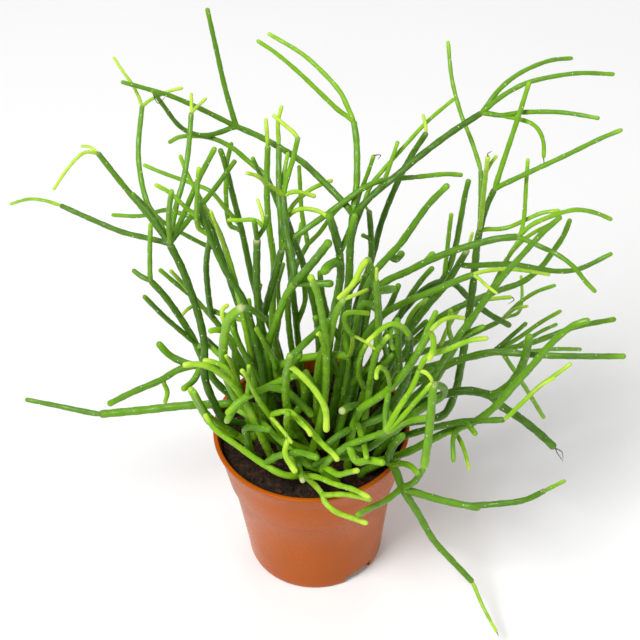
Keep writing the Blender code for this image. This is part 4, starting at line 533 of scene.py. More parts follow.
        (None, 62, 4.4, 3.2, 0.15, ((398, 362), (440, 346), (472, 334), (498, 322), (504, 318))),
        (0, 66, 2.8, 2.4, 0.35, ((504, 318), (518, 304), (536, 292), (556, 285))),
        (0, 50, 2.4, 2.0, 0.7, ((504, 318), (515, 309), (528, 306))),
        (0, 84, 2.3, 1.9, 0.6, ((504, 318), (519, 312), (522, 296), (521, 275))),
        (0, 50, 3.0, 2.5, 0.7, ((440, 346), (452, 320), (466, 302), (490, 299), (512, 297))),
    )),
    ("trailing_shoot", (368, 476), (
        (None, (-36, -48), 5.2, 4.8, 0.3, ((388, 461), (396, 470), (402, 488))),
        (0, -64, 4.6, 3.6, 0.3, ((402, 488), (412, 503), (420, 516), (434, 540), (453, 561), (473, 582))),
        (1, -92, 2.6, 2.0, 0.75, ((473, 582), (483, 606), (497, 632))),
        (0, -62, 4.8, 4.2, 0.25, ((402, 488), (442, 500), (481, 508))),
        (3, -66, 4.0, 3.4, 0.15, ((467, 505), (493, 504), (524, 500), (546, 490))),
        (4, -60, 2.6, 2.2, 0.55, ((546, 490), (566, 480))),
        (0, -84, 4.0, 3.4, 0.45, ((402, 488), (385, 501), (370, 508), (357, 515))),
        (0, -56, 4.2, 3.6, 0.35, ((402, 488), (414, 482), (424, 468))),
        (0, -44, 5.0, 4.6, 0.1, ((388, 462), (392, 448), (404, 434))),
        (0, -62, 3.8, 3.5, 0.4, ((391, 464), (402, 463), (412, 466), (419, 474))),
    )),
    ("front_over_rim_shoot", (284, 444), (
        (None, (-32, -84), 4.4, 3.0, 0.85, ((290, 457), (300, 472), (315, 486), (322, 495),
                                            (325, 503), (335, 512),
                                            (350, 518), (367, 524))),
        (0, -78, 3.4, 3.0, 0.7, ((322, 494), (345, 495), (371, 500))),
        (0, -84, 3.6, 3.0, 0.7, ((304, 474), (320, 476), (335, 482), (355, 488), (371, 496))),
    )),
)


def soil_height(x, y):
    """Height of the soil's gently mounded top."""
    share = min(1.0, math.hypot(x, y) / wall_radius(SOIL_Z, WALL))
    return SOIL_Z + SOIL_MOUND * (1.0 - share * share)


def eye_axes():
    """Directions of the view: to the right, up and forward."""
    forward = np.array((
        math.sin(EYE_YAW) * math.cos(EYE_PITCH),
        math.cos(EYE_YAW) * math.cos(EYE_PITCH),
        -math.sin(EYE_PITCH),
    ))
    level = np.array((math.cos(EYE_YAW), -math.sin(EYE_YAW), 0.0))
    upright = np.cross(level, forward)
    right = level * math.cos(EYE_ROLL) + upright * math.sin(EYE_ROLL)
    up = upright * math.cos(EYE_ROLL) - level * math.sin(EYE_ROLL)
    return right, up, forward


def view_ray(u, v):
    """Unit direction from the eye through a point of the view."""
    right, up, forward = eye_axes()
    ray = forward + right * (u - VIEW_CENTRE) / EYE_FOCUS - up * (v - VIEW_CENTRE) / EYE_FOCUS
    return ray / np.linalg.norm(ray)


def at_depth(u, v, depth):
    """The point of a view ray that lies at a depth behind the pot's axis."""
    ray = view_ray(u, v)
    return EYE + ray * (depth - EYE[1]) / ray[1]


def on_soil(u, v):
    """Where a view ray meets the soil."""
    ray = view_ray(u, v)
    point = EYE + ray * (SOIL_Z - EYE[2]) / ray[2]
    return point[:2]


def spread_roots(roots):
    """Moves roots apart until they stand a root spacing from each other, inside the pot."""
    spots = np.array(roots)
    for _ in range(SPREAD_ROUNDS):
        gap = spots[:, None] - spots[None]
        far = np.linalg.norm(gap, axis=2) + 1e-9
        push = np.clip(ROOT_SPACING - far, 0.0, None)
        np.fill_diagonal(push, 0.0)
        spots = spots + SPREAD_SHARE * (gap / far[..., None] * push[..., None]).sum(axis=1)
        reach = np.linalg.norm(spots, axis=1)
        spots *= np.minimum(1.0, ROOT_LIMIT / np.maximum(reach, 1e-9))[:, None]
    return spots


def run_along(points):
    """Distance of every point of a line from its first point, along the line."""
    steps = np.linalg.norm(np.diff(points, axis=0), axis=1)
    return np.concatenate(([0.0], np.cumsum(steps)))


def smooth_line(points, spacing):
    """A smooth curve through the points, cut into nearly equal steps."""
    points = np.array(points, dtype=float)
    ends = np.vstack((2 * points[0] - points[1], points, 2 * points[-1] - points[-2]))
    fine = []
    for k in range(len(points) - 1):
        before, first, second, after = ends[k:k + 4]
        span = np.linalg.norm(second - first)
        tangent_1 = (second - before) / (np.linalg.norm(first - before) + span) * span
        tangent_2 = (after - first) / (np.linalg.norm(after - second) + span) * span
        for t in np.linspace(0.0, 1.0, FINE_STEPS + 1)[:-1]:
            fine.append((2 * t**3 - 3 * t**2 + 1) * first + (t**3 - 2 * t**2 + t) * tangent_1
                        + (3 * t**2 - 2 * t**3) * second + (t**3 - t**2) * tangent_2)
    fine.append(points[-1])
    fine = np.array(fine)
    run = run_along(fine)
    count = max(3, int(math.ceil(run[-1] / spacing)) + 1)
    marks = np.linspace(0.0, run[-1], count)
    return np.column_stack([np.interp(marks, run, fine[:, axis]) for axis in range(3)])


class Stem:
    """One stem: its centre line, half widths, and how it hangs on the rest of its shoot."""

    def __init__(self, shoot, parent, joint, line, widths, youth):
        self.shoot = shoot
        self.parent = parent
        self.joint = joint
        self.rest = line
        self.youth = youth
        self.shift = np.zeros_like(line)
        self.run = run_along(line)
        self.start_run = parent.start_run + parent.run[joint] if parent else 0.0
        share = self.run / self.run[-1]
        self.radius = 0.5 * (widths[0] + (widths[1] - widths[0]) * share)
        held = SOCKET_DEPTH + FIXED_LENGTH if parent is None else 0.0
        ease = np.clip((self.run - held) / FREE_LENGTH, 0.0, 1.0)
        self.freedom = ease * ease * (3 - 2 * ease)
        apart = np.abs(self.run[:, None] - self.run[None])
        bump = np.clip(1.0 - apart / REACH, 0.0, None)
        self.spread = bump * bump * (3 - 2 * bump)
        blur = np.exp(-0.5 * (apart / SMOOTH_REACH) ** 2)
        self.blur = blur / blur.sum(axis=1)[:, None]
        self.sight = (line - EYE) / np.linalg.norm(line - EYE, axis=1)[:, None]

    def total_shift(self):
        carried = self.parent.total_shift()[self.joint] if self.parent else 0.0
        return self.shift + carried

    def line(self):
        return self.rest + self.total_shift()


def stem_route(root, parent, depth, marks):
    """Centre line of a stem through its points of the view, and the place where it joins its parent."""
    view = np.array(marks, dtype=float)
    run = run_along(view)
    if parent is None:
        joint = None
        if isinstance(depth, tuple):
            start_depth, depth = depth
        else:
            start_depth = root[1]
            run = run + ROOT_LEAD
    else:
        first = np.array([at_depth(*marks[0], point[1]) for point in parent.rest])
        joint = int(np.argmin(np.linalg.norm(first - parent.rest, axis=1)))
        start_depth = parent.rest[joint][1]
    points = []
    for (u, v), along in zip(marks, run):
        points.append(at_depth(u, v, start_depth + (depth - start_depth) * along / run[-1]))
    if parent is None:
        foot = np.array((root[0], root[1], soil_height(*root)))
        lean = points[0] - foot
        lean = lean / np.linalg.norm(lean)
        lean = lean + np.array((0.0, 0.0, UPRIGHT))
        lean = lean / np.linalg.norm(lean)
        points = [foot - lean * SOCKET_DEPTH, foot, foot + lean * ROOT_RISE] + points
    else:
        points[0] = parent.rest[joint]
    return smooth_line(points, SAMPLE), joint


def grow_shoots():
    """All stems of the plant, before they are settled."""
    roots = spread_roots([on_soil(*spot) for _, spot, _ in SHOOTS])
    stems = []
    for number, (_, _, parts) in enumerate(SHOOTS):
        own = []
        for parent_index, depth, start_width, end_width, youth, marks in parts:
            parent = None if parent_index is None else own[parent_index]
            line, joint = stem_route(roots[number], parent, depth, marks)
            own.append(Stem(number, parent, joint, line, (start_width, end_width), youth))
        stems.extend(own)
    return stems


def lineage(stem):
    """Stems from this one down to the root, with the distance from the root where each is left."""
    chain = []
    leave = None
    while stem:
        chain.append((stem, leave))
        leave = stem.start_run
        stem = stem.parent
    return chain


def path_between(stem_a, run_a, stem_b, run_b):
    """Distance along the plant between points of two stems of one shoot."""
    chain_a = {id(stem): leave for stem, leave in lineage(stem_a)}
    for stem, leave_b in lineage(stem_b):
        if id(stem) in chain_a:
            leave_a = chain_a[id(stem)]
            foot_a = run_a if leave_a is None else np.full_like(run_a, leave_a)
            foot_b = run_b if leave_b is None else np.full_like(run_b, leave_b)
            return (run_a - foot_a) + (run_b - foot_b) + np.abs(foot_a - foot_b)
    return np.full_like(run_a, 1e9)


def closest_parts(a0, a1, b0, b1):
    """Nearest points of pairs of straight pieces, as shares of each piece."""
    along_a, along_b, between = a1 - a0, b1 - b0, a0 - b0
    aa = (along_a * along_a).sum(1)
    bb = (along_b * along_b).sum(1)
    ab = (along_a * along_b).sum(1)
    da = (along_a * between).sum(1)
    db = (along_b * between).sum(1)
    denominator = np.maximum(aa * bb - ab * ab, 1e-9)
    share_a = np.clip((ab * db - bb * da) / denominator, 0.0, 1.0)
    share_b = np.clip((ab * share_a + db) / bb, 0.0, 1.0)
    share_a = np.clip((ab * share_b - da) / aa, 0.0, 1.0)
    return share_a, share_b


def near_pieces(stems, lines, pieces):
    """Pairs of straight pieces of stems that lie near each other and do not meet at a joint."""
    owner, index, run = pieces
    starts = np.array([lines[o][i] for o, i in zip(owner, index)])
    pairs_a, pairs_b = [], []
    for k in range(len(owner) - 1):
        far = np.abs(starts[k + 1:] - starts[k]).max(axis=1)
        close = np.nonzero(far < NEAR_REACH)[0] + k + 1
        close = close[owner[close] != owner[k]]
        pairs_a.append(np.full(len(close), k))
        pairs_b.append(close)
    pairs_a, pairs_b = np.concatenate(pairs_a), np.concatenate(pairs_b)
    keep = np.ones(len(pairs_a), dtype=bool)
    shoots = np.array([stem.shoot for stem in stems])
    same = np.nonzero(shoots[owner[pairs_a]] == shoots[owner[pairs_b]])[0]
    for k in same:
        a, b = pairs_a[k], pairs_b[k]
        path = path_between(stems[owner[a]], run[a:a + 1], stems[owner[b]], run[b:b + 1])
        keep[k] = path[0] > NEAR_PATH
    return pairs_a[keep], pairs_b[keep]


def wall_radius(z, inset=0.0):
    """Radius of the pot's outer wall at a height, or of a surface inside it."""
    if z >= COLLAR_LOW_Z:
        share = (z - COLLAR_LOW_Z) / (POT_HEIGHT - COLLAR_LOW_Z)
        return COLLAR_LOW_RADIUS + (RIM_RADIUS - LIP_PROUD - COLLAR_LOW_RADIUS) * share - inset
    return BASE_RADIUS + (STEP_RADIUS - BASE_RADIUS) * z / COLLAR_LOW_Z - inset


def pot_outline():
    """Outer outline of pot and soil, as points in the half plane of radius and height."""
    outline = ((0.0, SOIL_Z + SOIL_MOUND), (wall_radius(SOIL_Z, WALL), SOIL_Z),
               (wall_radius(POT_HEIGHT, WALL), POT_HEIGHT), (RIM_RADIUS, POT_HEIGHT),
               (COLLAR_LOW_RADIUS, COLLAR_LOW_Z), (STEP_RADIUS, COLLAR_LOW_Z), (BASE_RADIUS, 0.0))
    return np.array(outline)


def clear_of_pot(points, radii):
    """How far towards the viewer each point moves to clear pot, soil and ground."""
    outline = pot_outline()
    flat = np.column_stack((np.hypot(points[:, 0], points[:, 1]), points[:, 2]))
    nearest = np.full(len(points), 1e9)
    for first, second in zip(outline[:-1], outline[1:]):
        along = second - first
        share = np.clip(((flat - first) @ along) / (along @ along), 0.0, 1.0)
        offset = flat - (first + share[:, None] * along)
        nearest = np.minimum(nearest, np.linalg.norm(offset, axis=1))
    gap = np.where(inside_outline(flat, outline), -nearest, nearest)
    need = np.clip(radii + CLEARANCE - gap, 0.0, DEEPEST_PUSH)
    return np.maximum(need, np.clip(radii + CLEARANCE - points[:, 2], 0.0, None))


def inside_outline(flat, outline):
    """Whether points of the half plane lie inside the outline of pot and soil."""
    ring = np.vstack((outline, ((0.0, 0.0),)))
    inside = np.zeros(len(flat), dtype=bool)
    for first, second in zip(ring, np.roll(ring, -1, axis=0)):
        crosses = (first[1] > flat[:, 1]) != (second[1] > flat[:, 1])
        rise = second[1] - first[1] if second[1] != first[1] else 1e-9
        edge = (second[0] - first[0]) * (flat[:, 1] - first[1]) / rise + first[0]
        inside ^= crosses & (flat[:, 0] < edge)
    return inside


def push_stem(stem, pushes):
    """Spreads pushes along a stem, and hands what its held start cannot take to its parent."""
    weight = np.linalg.norm(pushes, axis=1)
    crowd = np.maximum(1.0, stem.spread @ (weight > 1e-6) * SAMPLE / REACH)
    yielding = pushes * np.sqrt(stem.freedom)[:, None]
    stem.shift += RELAX * stem.freedom[:, None] * (stem.spread @ yielding) / crowd[:, None]
    if stem.parent:
        held = (1.0 - stem.freedom) * weight
        worst = int(np.argmax(held))
        if held[worst] > 1e-3:
            share = np.zeros_like(stem.parent.shift)
            share[stem.joint] = pushes[worst] * (1.0 - stem.freedom[worst])
            push_stem(stem.parent, share)


def settled_sides(sides, owner, pairs_a, pairs_b, along):
    """Which stem of each touching pair stays behind the other, kept once it is known."""
    count = owner.max() + 1
    keys = owner[pairs_a] * count + owner[pairs_b]
    for key in np.unique(keys):
        if key not in sides:
            sides[key] = 1.0 if along[keys == key].mean() >= 0.0 else -1.0
    return np.array([sides[key] for key in keys])


def settle(stems):
    """Moves stems, mostly along the lines of sight, away from other stems, the pot and the ground, for a
    fixed number of rounds.
    """
    owner = np.concatenate([np.full(len(stem.rest) - 1, k) for k, stem in enumerate(stems)])
    index = np.concatenate([np.arange(len(stem.rest) - 1) for stem in stems])
    run = np.concatenate([stem.start_run + stem.run[:-1] for stem in stems])
    radius = np.concatenate([stem.radius[:-1] for stem in stems])
    free = np.concatenate([stem.freedom[:-1] for stem in stems]) + HARDLY_FREE
    sight = np.concatenate([stem.sight[:-1] for stem in stems])
    first_of = np.searchsorted(owner, np.arange(len(stems)))
    sides = {}
    for turn in range(ROUNDS):
        lines = [stem.line() for stem in stems]
        start = np.concatenate([line[:-1] for line in lines])
        end = np.concatenate([line[1:] for line in lines])
        if turn % REFRESH == 0:
            pairs_a, pairs_b = near_pieces(stems, lines, (owner, index, run))
        share_a, share_b = closest_parts(start[pairs_a], end[pairs_a], start[pairs_b], end[pairs_b])
        point_a = start[pairs_a] + share_a[:, None] * (end[pairs_a] - start[pairs_a])
        point_b = start[pairs_b] + share_b[:, None] * (end[pairs_b] - start[pairs_b])
        between = point_a - point_b
        line_of_sight = sight[pairs_a]
        along = (between * line_of_sight).sum(axis=1)
        sideways = between - along[:, None] * line_of_sight
        aside = np.linalg.norm(sideways, axis=1)
        wanted = radius[pairs_a] + radius[pairs_b] + CLEARANCE
        near = np.nonzero(aside < wanted)[0]
        if turn % REFRESH == 0:
            side = settled_sides(sides, owner, pairs_a[near], pairs_b[near], along[near])
        else:
            count = owner.max() + 1
            keys = owner[pairs_a[near]] * count + owner[pairs_b[near]]
            side = np.array([sides.get(key, 0.0) for key in keys])
            unknown = side == 0.0
            side[unknown] = np.where(along[near][unknown] >= 0.0, 1.0, -1.0)
        depth_wanted = np.sqrt(wanted[near] ** 2 - aside[near] ** 2)
        need = depth_wanted - side * along[near]
        hit = need > 0.0
        near, side, need = near[hit], side[hit], need[hit]
        side_share = np.clip(aside[near] / wanted[near], 0.0, 1.0) * SIDEWAYS
        depth_part = (side * need * (1.0 - side_share))[:, None] * line_of_sight[near]
        side_need = side_share * np.minimum(need, wanted[near] - aside[near])
        move = depth_part + (side_need / (aside[near] + 1e-6))[:, None] * sideways[near]
        whole = free[pairs_a[near]] + free[pairs_b[near]]
        total = np.zeros((len(owner), 3))
        touched = np.full(len(owner), 1e-9)
        for places, moves in ((pairs_a[near], move * (free[pairs_a[near]] / whole)[:, None]),
                              (pairs_b[near], -move * (free[pairs_b[near]] / whole)[:, None])):
            np.add.at(total, places, moves)
            np.add.at(touched, places, 1.0)
        total /= np.maximum(1.0, touched)[:, None] ** 0.5
        total -= clear_of_pot(start, radius)[:, None] * sight * (free > HARDLY_FREE)[:, None]
        for k, stem in enumerate(stems):
            part = total[first_of[k]:first_of[k] + len(stem.rest) - 1]
            if np.any(part):
                push_stem(stem, np.vstack((part, np.zeros(3))))
            if turn < SMOOTH_ROUNDS:
                stem.shift += SMOOTH_SHARE * stem.freedom[:, None] * (stem.blur @ stem.shift - stem.shift)
    return stems


# Visual detail of the stems, in millimetres
COURSE_STEP = 1.0
RING_SPACING = 2.0
STEM_SIDES = 12
NECK_LENGTH = 3.2
NECK_WIDTH = 0.74
SCAR_LENGTH = 1.3
TIP_LENGTH = 16.0
TIP_BLUNTNESS = 0.985
SWELLING = 0.045
SWELLING_LENGTH = 11.0
SECOND_SWELLING = 0.6
SECOND_LENGTH = 0.43 * SWELLING_LENGTH
AREOLE_TURN = math.radians(137.5)
AREOLE_RADIUS = 0.42
AREOLE_SIDES = 5
AREOLE_SEAT = 0.985
AREOLE_RISE = 0.5
AREOLE_SINK = 0.6
THREAD_RADIUS = 0.34
THREAD_END = 0.4
THREAD_SIDES = 6
THREAD_STEP = 0.6

# Visual detail of the pot and the soil, in millimetres
POT_SIDES = 144
DRAIN_SIDES = 32
LIP_ROUNDING = 0.7
SMOOTH_ANGLE = math.radians(38.0)
SOIL_SIDES = 120
SOIL_RINGS = 30
COARSE_BUMP, COARSE_SCALE = 1.3, 9.0
FINE_BUMP, FINE_SCALE = 0.7, 2.6
BUMP_DROP = 0.4
CRUMB_MARGIN = 2.5
BARK_SHARE = 0.28
FIBRE_MARGIN = 9.0
FIBRE_POINTS = 8
FIBRE_STEP = 1.1
FIBRE_SIDES = 5

SEED = 7

# Material numbers of a shoot's faces, and of the soil litter's faces
GREEN_SKIN, WOOL, THREAD = range(3)
PEAT, BARK, FIBRE = range(3)

# Stem ends that are corky and pale, as points of the view, and how near an end must be to count.
CORKY_ENDS = ((240, 303), (282, 376), (297, 483), (236, 336), (345, 410), (359, 460), (292, 137), (443, 252),
              (467, 250), (389, 298), (303, 484), (226, 425), (343, 369), (335, 216), (257, 240), (362, 461))
CORKY_REACH = 5.0
CORKY_LENGTH = 2.2
CORKY_PALENESS = 1.6

# Dried threads left at some stem ends, as points of the view.
THREADS = (
    ((556, 450), (559, 456), (564, 463)),
    ((555, 449), (562, 453), (563, 460)),
    ((541, 158), (541, 163), (537, 164)),
    ((370, 156), (377, 156), (374, 160)),
    ((475, 168), (475, 172), (479, 175)),
    ((486, 157), (486, 154), (490, 152)),
    ((513, 300), (515, 303), (509, 307)),
    ((143, 94), (147, 105), (150, 108), (156, 102)),
    ((496, 630), (498, 634)),
)


def seen_at(point):
    """The point of the view at which a place in space is seen."""
    right, up, forward = eye_axes()
    sight = np.asarray(point) - EYE
    reach = sight @ forward
    across = EYE_FOCUS * (sight @ right) / reach
    raised = EYE_FOCUS * (sight @ up) / reach
    return VIEW_CENTRE + across, VIEW_CENTRE - raised


class PotSettings(bpy.types.PropertyGroup):
    """Colours of the pot."""
    colour: FloatVectorProperty(
        name="Colour", description="Colour of the pot's plastic", default=(0.47, 0.095, 0.001), min=0, max=1,
        subtype="COLOR")
    dust_colour: FloatVectorProperty(
        name="Dust colour", description="Colour of the dust and soil marks", default=(0.16, 0.07, 0.035),
        min=0, max=1, subtype="COLOR")


class SoilSettings(bpy.types.PropertyGroup):
    """Amounts and colours of the soil."""
    colour: FloatVectorProperty(
        name="Colour", description="Colour of moist peat", default=(0.012, 0.0065, 0.0035), min=0, max=1,
        subtype="COLOR")
    bark_colour: FloatVectorProperty(
        name="Bark colour", description="Colour of the bark and fibres", default=(0.10, 0.034, 0.013), min=0,
        max=1, subtype="COLOR")
    crumbs: IntProperty(name="Crumbs", description="Number of crumbs on the soil", default=1100, min=0)
    fibres: IntProperty(name="Fibres", description="Number of fibres on the soil", default=170, min=0)


class StemSettings(bpy.types.PropertyGroup):
    """Colours and detail of the stems."""
    old_colour: FloatVectorProperty(
        name="Old", description="Colour of old stems", default=(0.044, 0.125, 0.003), min=0, max=1,
        subtype="COLOR")
    grown_colour: FloatVectorProperty(
        name="Grown", description="Colour of grown stems", default=(0.122, 0.300, 0.006), min=0, max=1,
        subtype="COLOR")
    fresh_colour: FloatVectorProperty(
        name="Fresh", description="Colour of fresh stems", default=(0.24, 0.49, 0.010), min=0, max=1,
        subtype="COLOR")
    tip_colour: FloatVectorProperty(
        name="Tip", description="Colour of the newest tips", default=(0.48, 0.69, 0.05), min=0, max=1,
        subtype="COLOR")
    areole_spacing: FloatProperty(
        name="Areole spacing", description="Distance between areoles along a stem", default=6.5 * MM,
        unit="LENGTH")


class StageSettings(bpy.types.PropertyGroup):
    """Floor and light of the stage."""
    floor_colour: FloatVectorProperty(
        name="Floor", description="Colour of the floor", default=(0.86, 0.86, 0.86), min=0, max=1,
        subtype="COLOR")
    key_power: FloatProperty(name="Key light", description="Power of the main light", default=36.0, min=0)
    fill_power: FloatProperty(name="Fill light", description="Power of the softer lights", default=7.0, min=0)
    sky: FloatProperty(name="Sky", description="Strength of the light from all round", default=0.34, min=0)


def choose_nothing():
    """Leaves edit mode and deselects every object."""
    if bpy.context.object and bpy.context.object.mode != "OBJECT":
        bpy.ops.object.mode_set(mode="OBJECT")
    bpy.ops.object.select_all(action="DESELECT")


def smooth_step(value):
    value = np.clip(value, 0.0, 1.0)
    return value * value * (3.0 - 2.0 * value)


def ring_marks(length, radius):
    """Distances along a stem at which it gets a ring: even ones, and closer ones round its tip."""
    straight = max(length - radius, 0.6 * length)
    body = np.linspace(0.0, straight, max(3, int(math.ceil(straight / RING_SPACING)) + 1))
    cap = straight + (length - straight) * np.sin(np.radians((28.0, 52.0, 74.0)))
    return np.concatenate((body, cap)), straight


def frames_along(line):
    """Two directions across a line at each of its points, turned as little as possible on the way."""
    ahead = np.gradient(line, axis=0)
    ahead /= np.linalg.norm(ahead, axis=1)[:, None]
    start = np.array((0.0, 0.0, 1.0)) if abs(ahead[0][2]) < 0.9 else np.array((1.0, 0.0, 0.0))
    side = np.cross(ahead[0], start)
    sides = []
    for direction in ahead:
        side = side - direction * (side @ direction)
        side = side / np.linalg.norm(side)
        sides.append(side)
    sides = np.array(sides)
    return sides, np.cross(ahead, sides)


class Skin:
    """Collects the faces of one piece, with what its material reads at each point."""

    def __init__(self):
        self.points = []
        self.faces = []
        self.maps = []
        self.kinds = []
        self.facts = {"youth": [], "tip": [], "scar": [], "tone": []}

    def add(self, points, faces, maps, kind, **facts):
        first = len(self.points)
        self.points.extend(points)
        self.faces.extend([tuple(first + corner for corner in face) for face in faces])
        self.maps.extend(maps)
        self.kinds.extend([kind] * len(faces))
        for name, values in self.facts.items():
            value = facts.get(name, 0.0)
            values.extend(value if np.ndim(value) else [value] * len(points))

    def finish(self, name, materials):
        """Makes the mesh object of the piece."""
        mesh = bpy.data.meshes.new(name)
        mesh.from_pydata([tuple(point * MM) for point in np.array(self.points)], [], self.faces)
        layer = mesh.uv_layers.new(name="skin")
        layer.data.foreach_set("uv", np.array(self.maps, dtype=np.float32).ravel())
        mesh.polygons.foreach_set("material_index", self.kinds)
        for fact, values in self.facts.items():
            store = mesh.attributes.new(fact, "FLOAT", "POINT")
            store.data.foreach_set("value", np.array(values, dtype=np.float32))
        for material in materials:
            mesh.materials.append(material)
        mesh.shade_smooth()
        mesh.update()
        piece = bpy.data.objects.new(name, mesh)
        bpy.context.scene.collection.objects.link(piece)
        return piece


def tube_faces(rings, sides):
    """Faces of a tube whose points are its rings, then its start pole, then its end pole.

    The ring and side of every four-cornered face come with them.
    """
    start, end = rings * sides, rings * sides + 1
    faces, quads = [], []
    for ring in range(rings - 1):
        for k in range(sides):
            following = (k + 1) % sides
            low, high = ring * sides, (ring + 1) * sides
            faces.append((low + k, low + following, high + following, high + k))
            quads.append((ring, k))
    for k in range(sides):
        following = (k + 1) % sides
        faces.append((start, following, k))
        faces.append((end, (rings - 1) * sides + k, (rings - 1) * sides + following))
    return faces, quads


def tube_points(line, radii, sides):
    """Points of a round tube along a line."""
    across, up = frames_along(line)
    angles = np.arange(sides) * math.tau / sides
    spokes = across[:, None] * np.cos(angles)[None, :, None] + up[:, None] * np.sin(angles)[None, :, None]
    return line[:, None] + spokes * radii[:, None, None]


def add_tube(skin, line, radii, sides, kind, **facts):
    """Adds a closed tube to a skin. Its map runs round the tube, and along it in centimetres."""
    points = np.vstack((tube_points(line, radii, sides).reshape(-1, 3), line[0], line[-1]))
    faces, quads = tube_faces(len(line), sides)
    run = run_along(line) / MM_PER_CM
    maps = []
    for ring, k in quads:
        left, right = k / sides, (k + 1) / sides
        maps.extend(((left, run[ring]), (right, run[ring]), (right, run[ring + 1]), (left, run[ring + 1])))
    for k in range(sides):
        left, right = k / sides, (k + 1) / sides
        maps.extend(((left, run[0]), (right, run[0]), (left, run[0])))
        maps.extend(((left, run[-1]), (left, run[-1]), (right, run[-1])))
    spread = {}
    for name, value in facts.items():
        if np.ndim(value):
            spread[name] = np.concatenate((np.repeat(value, sides), (value[0], value[-1])))
        else:
            spread[name] = value
    skin.add(points, faces, maps, kind, **spread)


def stem_course(stem):
    """Fine centre line of a stem, started a little inside the stem it grows from."""
    line = stem.line().copy()
    if stem.parent:
        parent_line = stem.parent.line()
        back = parent_line[stem.joint] - parent_line[max(stem.joint - 1, 0)]
        line[0] -= back / np.linalg.norm(back) * JOINT_OVERLAP
    return smooth_line(line, COURSE_STEP)


def grow_stem(skin, stem, has_children, chance, spacing):
    """Adds one stem: a round body with a neck, swellings and a blunt tip, and its areoles."""
    fine = stem_course(stem)
    run = run_along(fine)
    length = run[-1]
    marks, straight = ring_marks(length, stem.radius[-1])
    line = np.column_stack([np.interp(marks, run, fine[:, axis]) for axis in range(3)])
    radii = np.interp(marks / length, stem.run / stem.run[-1], stem.radius)
    phase = chance.uniform(0.0, math.tau)
    second_phase = chance.uniform(0.0, math.tau)
    tone = chance.uniform(-1, 1)
    wave = np.sin(marks / SWELLING_LENGTH * math.tau + phase)
    wave = wave + SECOND_SWELLING * np.sin(marks / SECOND_LENGTH * math.tau + second_phase)
    radii = radii * (1.0 + SWELLING * wave)
    if stem.parent:
        radii *= NECK_WIDTH + (1.0 - NECK_WIDTH) * smooth_step(marks / NECK_LENGTH)
    cap = np.clip((marks - straight) / max(length - straight, 1e-6), 0.0, 1.0)
    radii *= np.sqrt(np.clip(1.0 - TIP_BLUNTNESS * cap ** 2, 0.02, 1.0))
    tip = np.zeros_like(marks)
    scar = np.zeros_like(marks)
    if not has_children:
        tip = smooth_step((marks - length + TIP_LENGTH) / TIP_LENGTH) ** 2 * chance.uniform(0.35, 1.0)
    else:
        scar += 0.7 * np.exp(-((length - marks) / SCAR_LENGTH) ** 2)
    if stem.parent:
        scar += np.exp(-(marks / SCAR_LENGTH) ** 2)
    scar *= chance.choice((0.35, 0.7, 1.0, -0.8))
    across, down = seen_at(fine[-1])
    if any(math.hypot(across - u, down - v) < CORKY_REACH for u, v in CORKY_ENDS):
        scar += CORKY_PALENESS * np.exp(-((length - marks) / CORKY_LENGTH) ** 2)
    add_tube(skin, line, radii, STEM_SIDES, GREEN_SKIN, youth=stem.youth, tip=tip, scar=scar, tone=tone)
    add_areoles(skin, line, radii, marks, straight, stem, chance, spacing)


def add_areoles(skin, line, radii, marks, straight, stem, chance, spacing):
    """Adds the small woolly dots that sit in a spiral on a stem."""
    across, up = frames_along(line)
    place = spacing * chance.uniform(0.5, 1.0)
    angle = chance.uniform(0.0, math.tau)
    faces = []
    for pole in (0, AREOLE_SIDES + 1):
        for k in range(AREOLE_SIDES):
            edge = (1 + k, 1 + (k + 1) % AREOLE_SIDES)
            faces.append((pole, *edge) if pole == 0 else (pole, *reversed(edge)))
    while place < straight:
        ring = int(np.clip(np.searchsorted(marks, place), 1, len(marks) - 1))
        share = (place - marks[ring - 1]) / (marks[ring] - marks[ring - 1])
        centre = line[ring - 1] + (line[ring] - line[ring - 1]) * share
        ahead = line[ring] - line[ring - 1]
        ahead = ahead / np.linalg.norm(ahead)
        outward = across[ring] * math.cos(angle) + up[ring] * math.sin(angle)
        outward = outward - ahead * (outward @ ahead)
        outward = outward / np.linalg.norm(outward)
        sideways = np.cross(ahead, outward)
        size = AREOLE_RADIUS * chance.uniform(0.7, 1.15)
        foot = centre + outward * (radii[ring] * AREOLE_SEAT)
        points = [foot + outward * AREOLE_RISE * size]
        for k in range(AREOLE_SIDES):
            turn = k * math.tau / AREOLE_SIDES
            points.append(foot + (ahead * math.cos(turn) + sideways * math.sin(turn)) * size)
        points.append(foot - outward * AREOLE_SINK * size)
        skin.add(points, faces, [(0.0, 0.0)] * (3 * len(faces)), WOOL, youth=stem.youth)
        place += spacing * chance.uniform(0.75, 1.3)
        angle += AREOLE_TURN


def add_socket(group, direction, kind, name, value=None):
    socket = group.interface.new_socket(name=name, in_out=direction, socket_type=kind)
    if value is not None:
        socket.default_value = value
    return socket


def new_group(name, inputs, outputs):
    """An empty shader node group with named inputs and outputs."""
    group = bpy.data.node_groups.new(name, "ShaderNodeTree")
    for label, kind, value in inputs:
        add_socket(group, "INPUT", kind, label, value)
    for label, kind in outputs:
        add_socket(group, "OUTPUT", kind, label)
    return group, group.nodes.new("NodeGroupInput"), group.nodes.new("NodeGroupOutput")


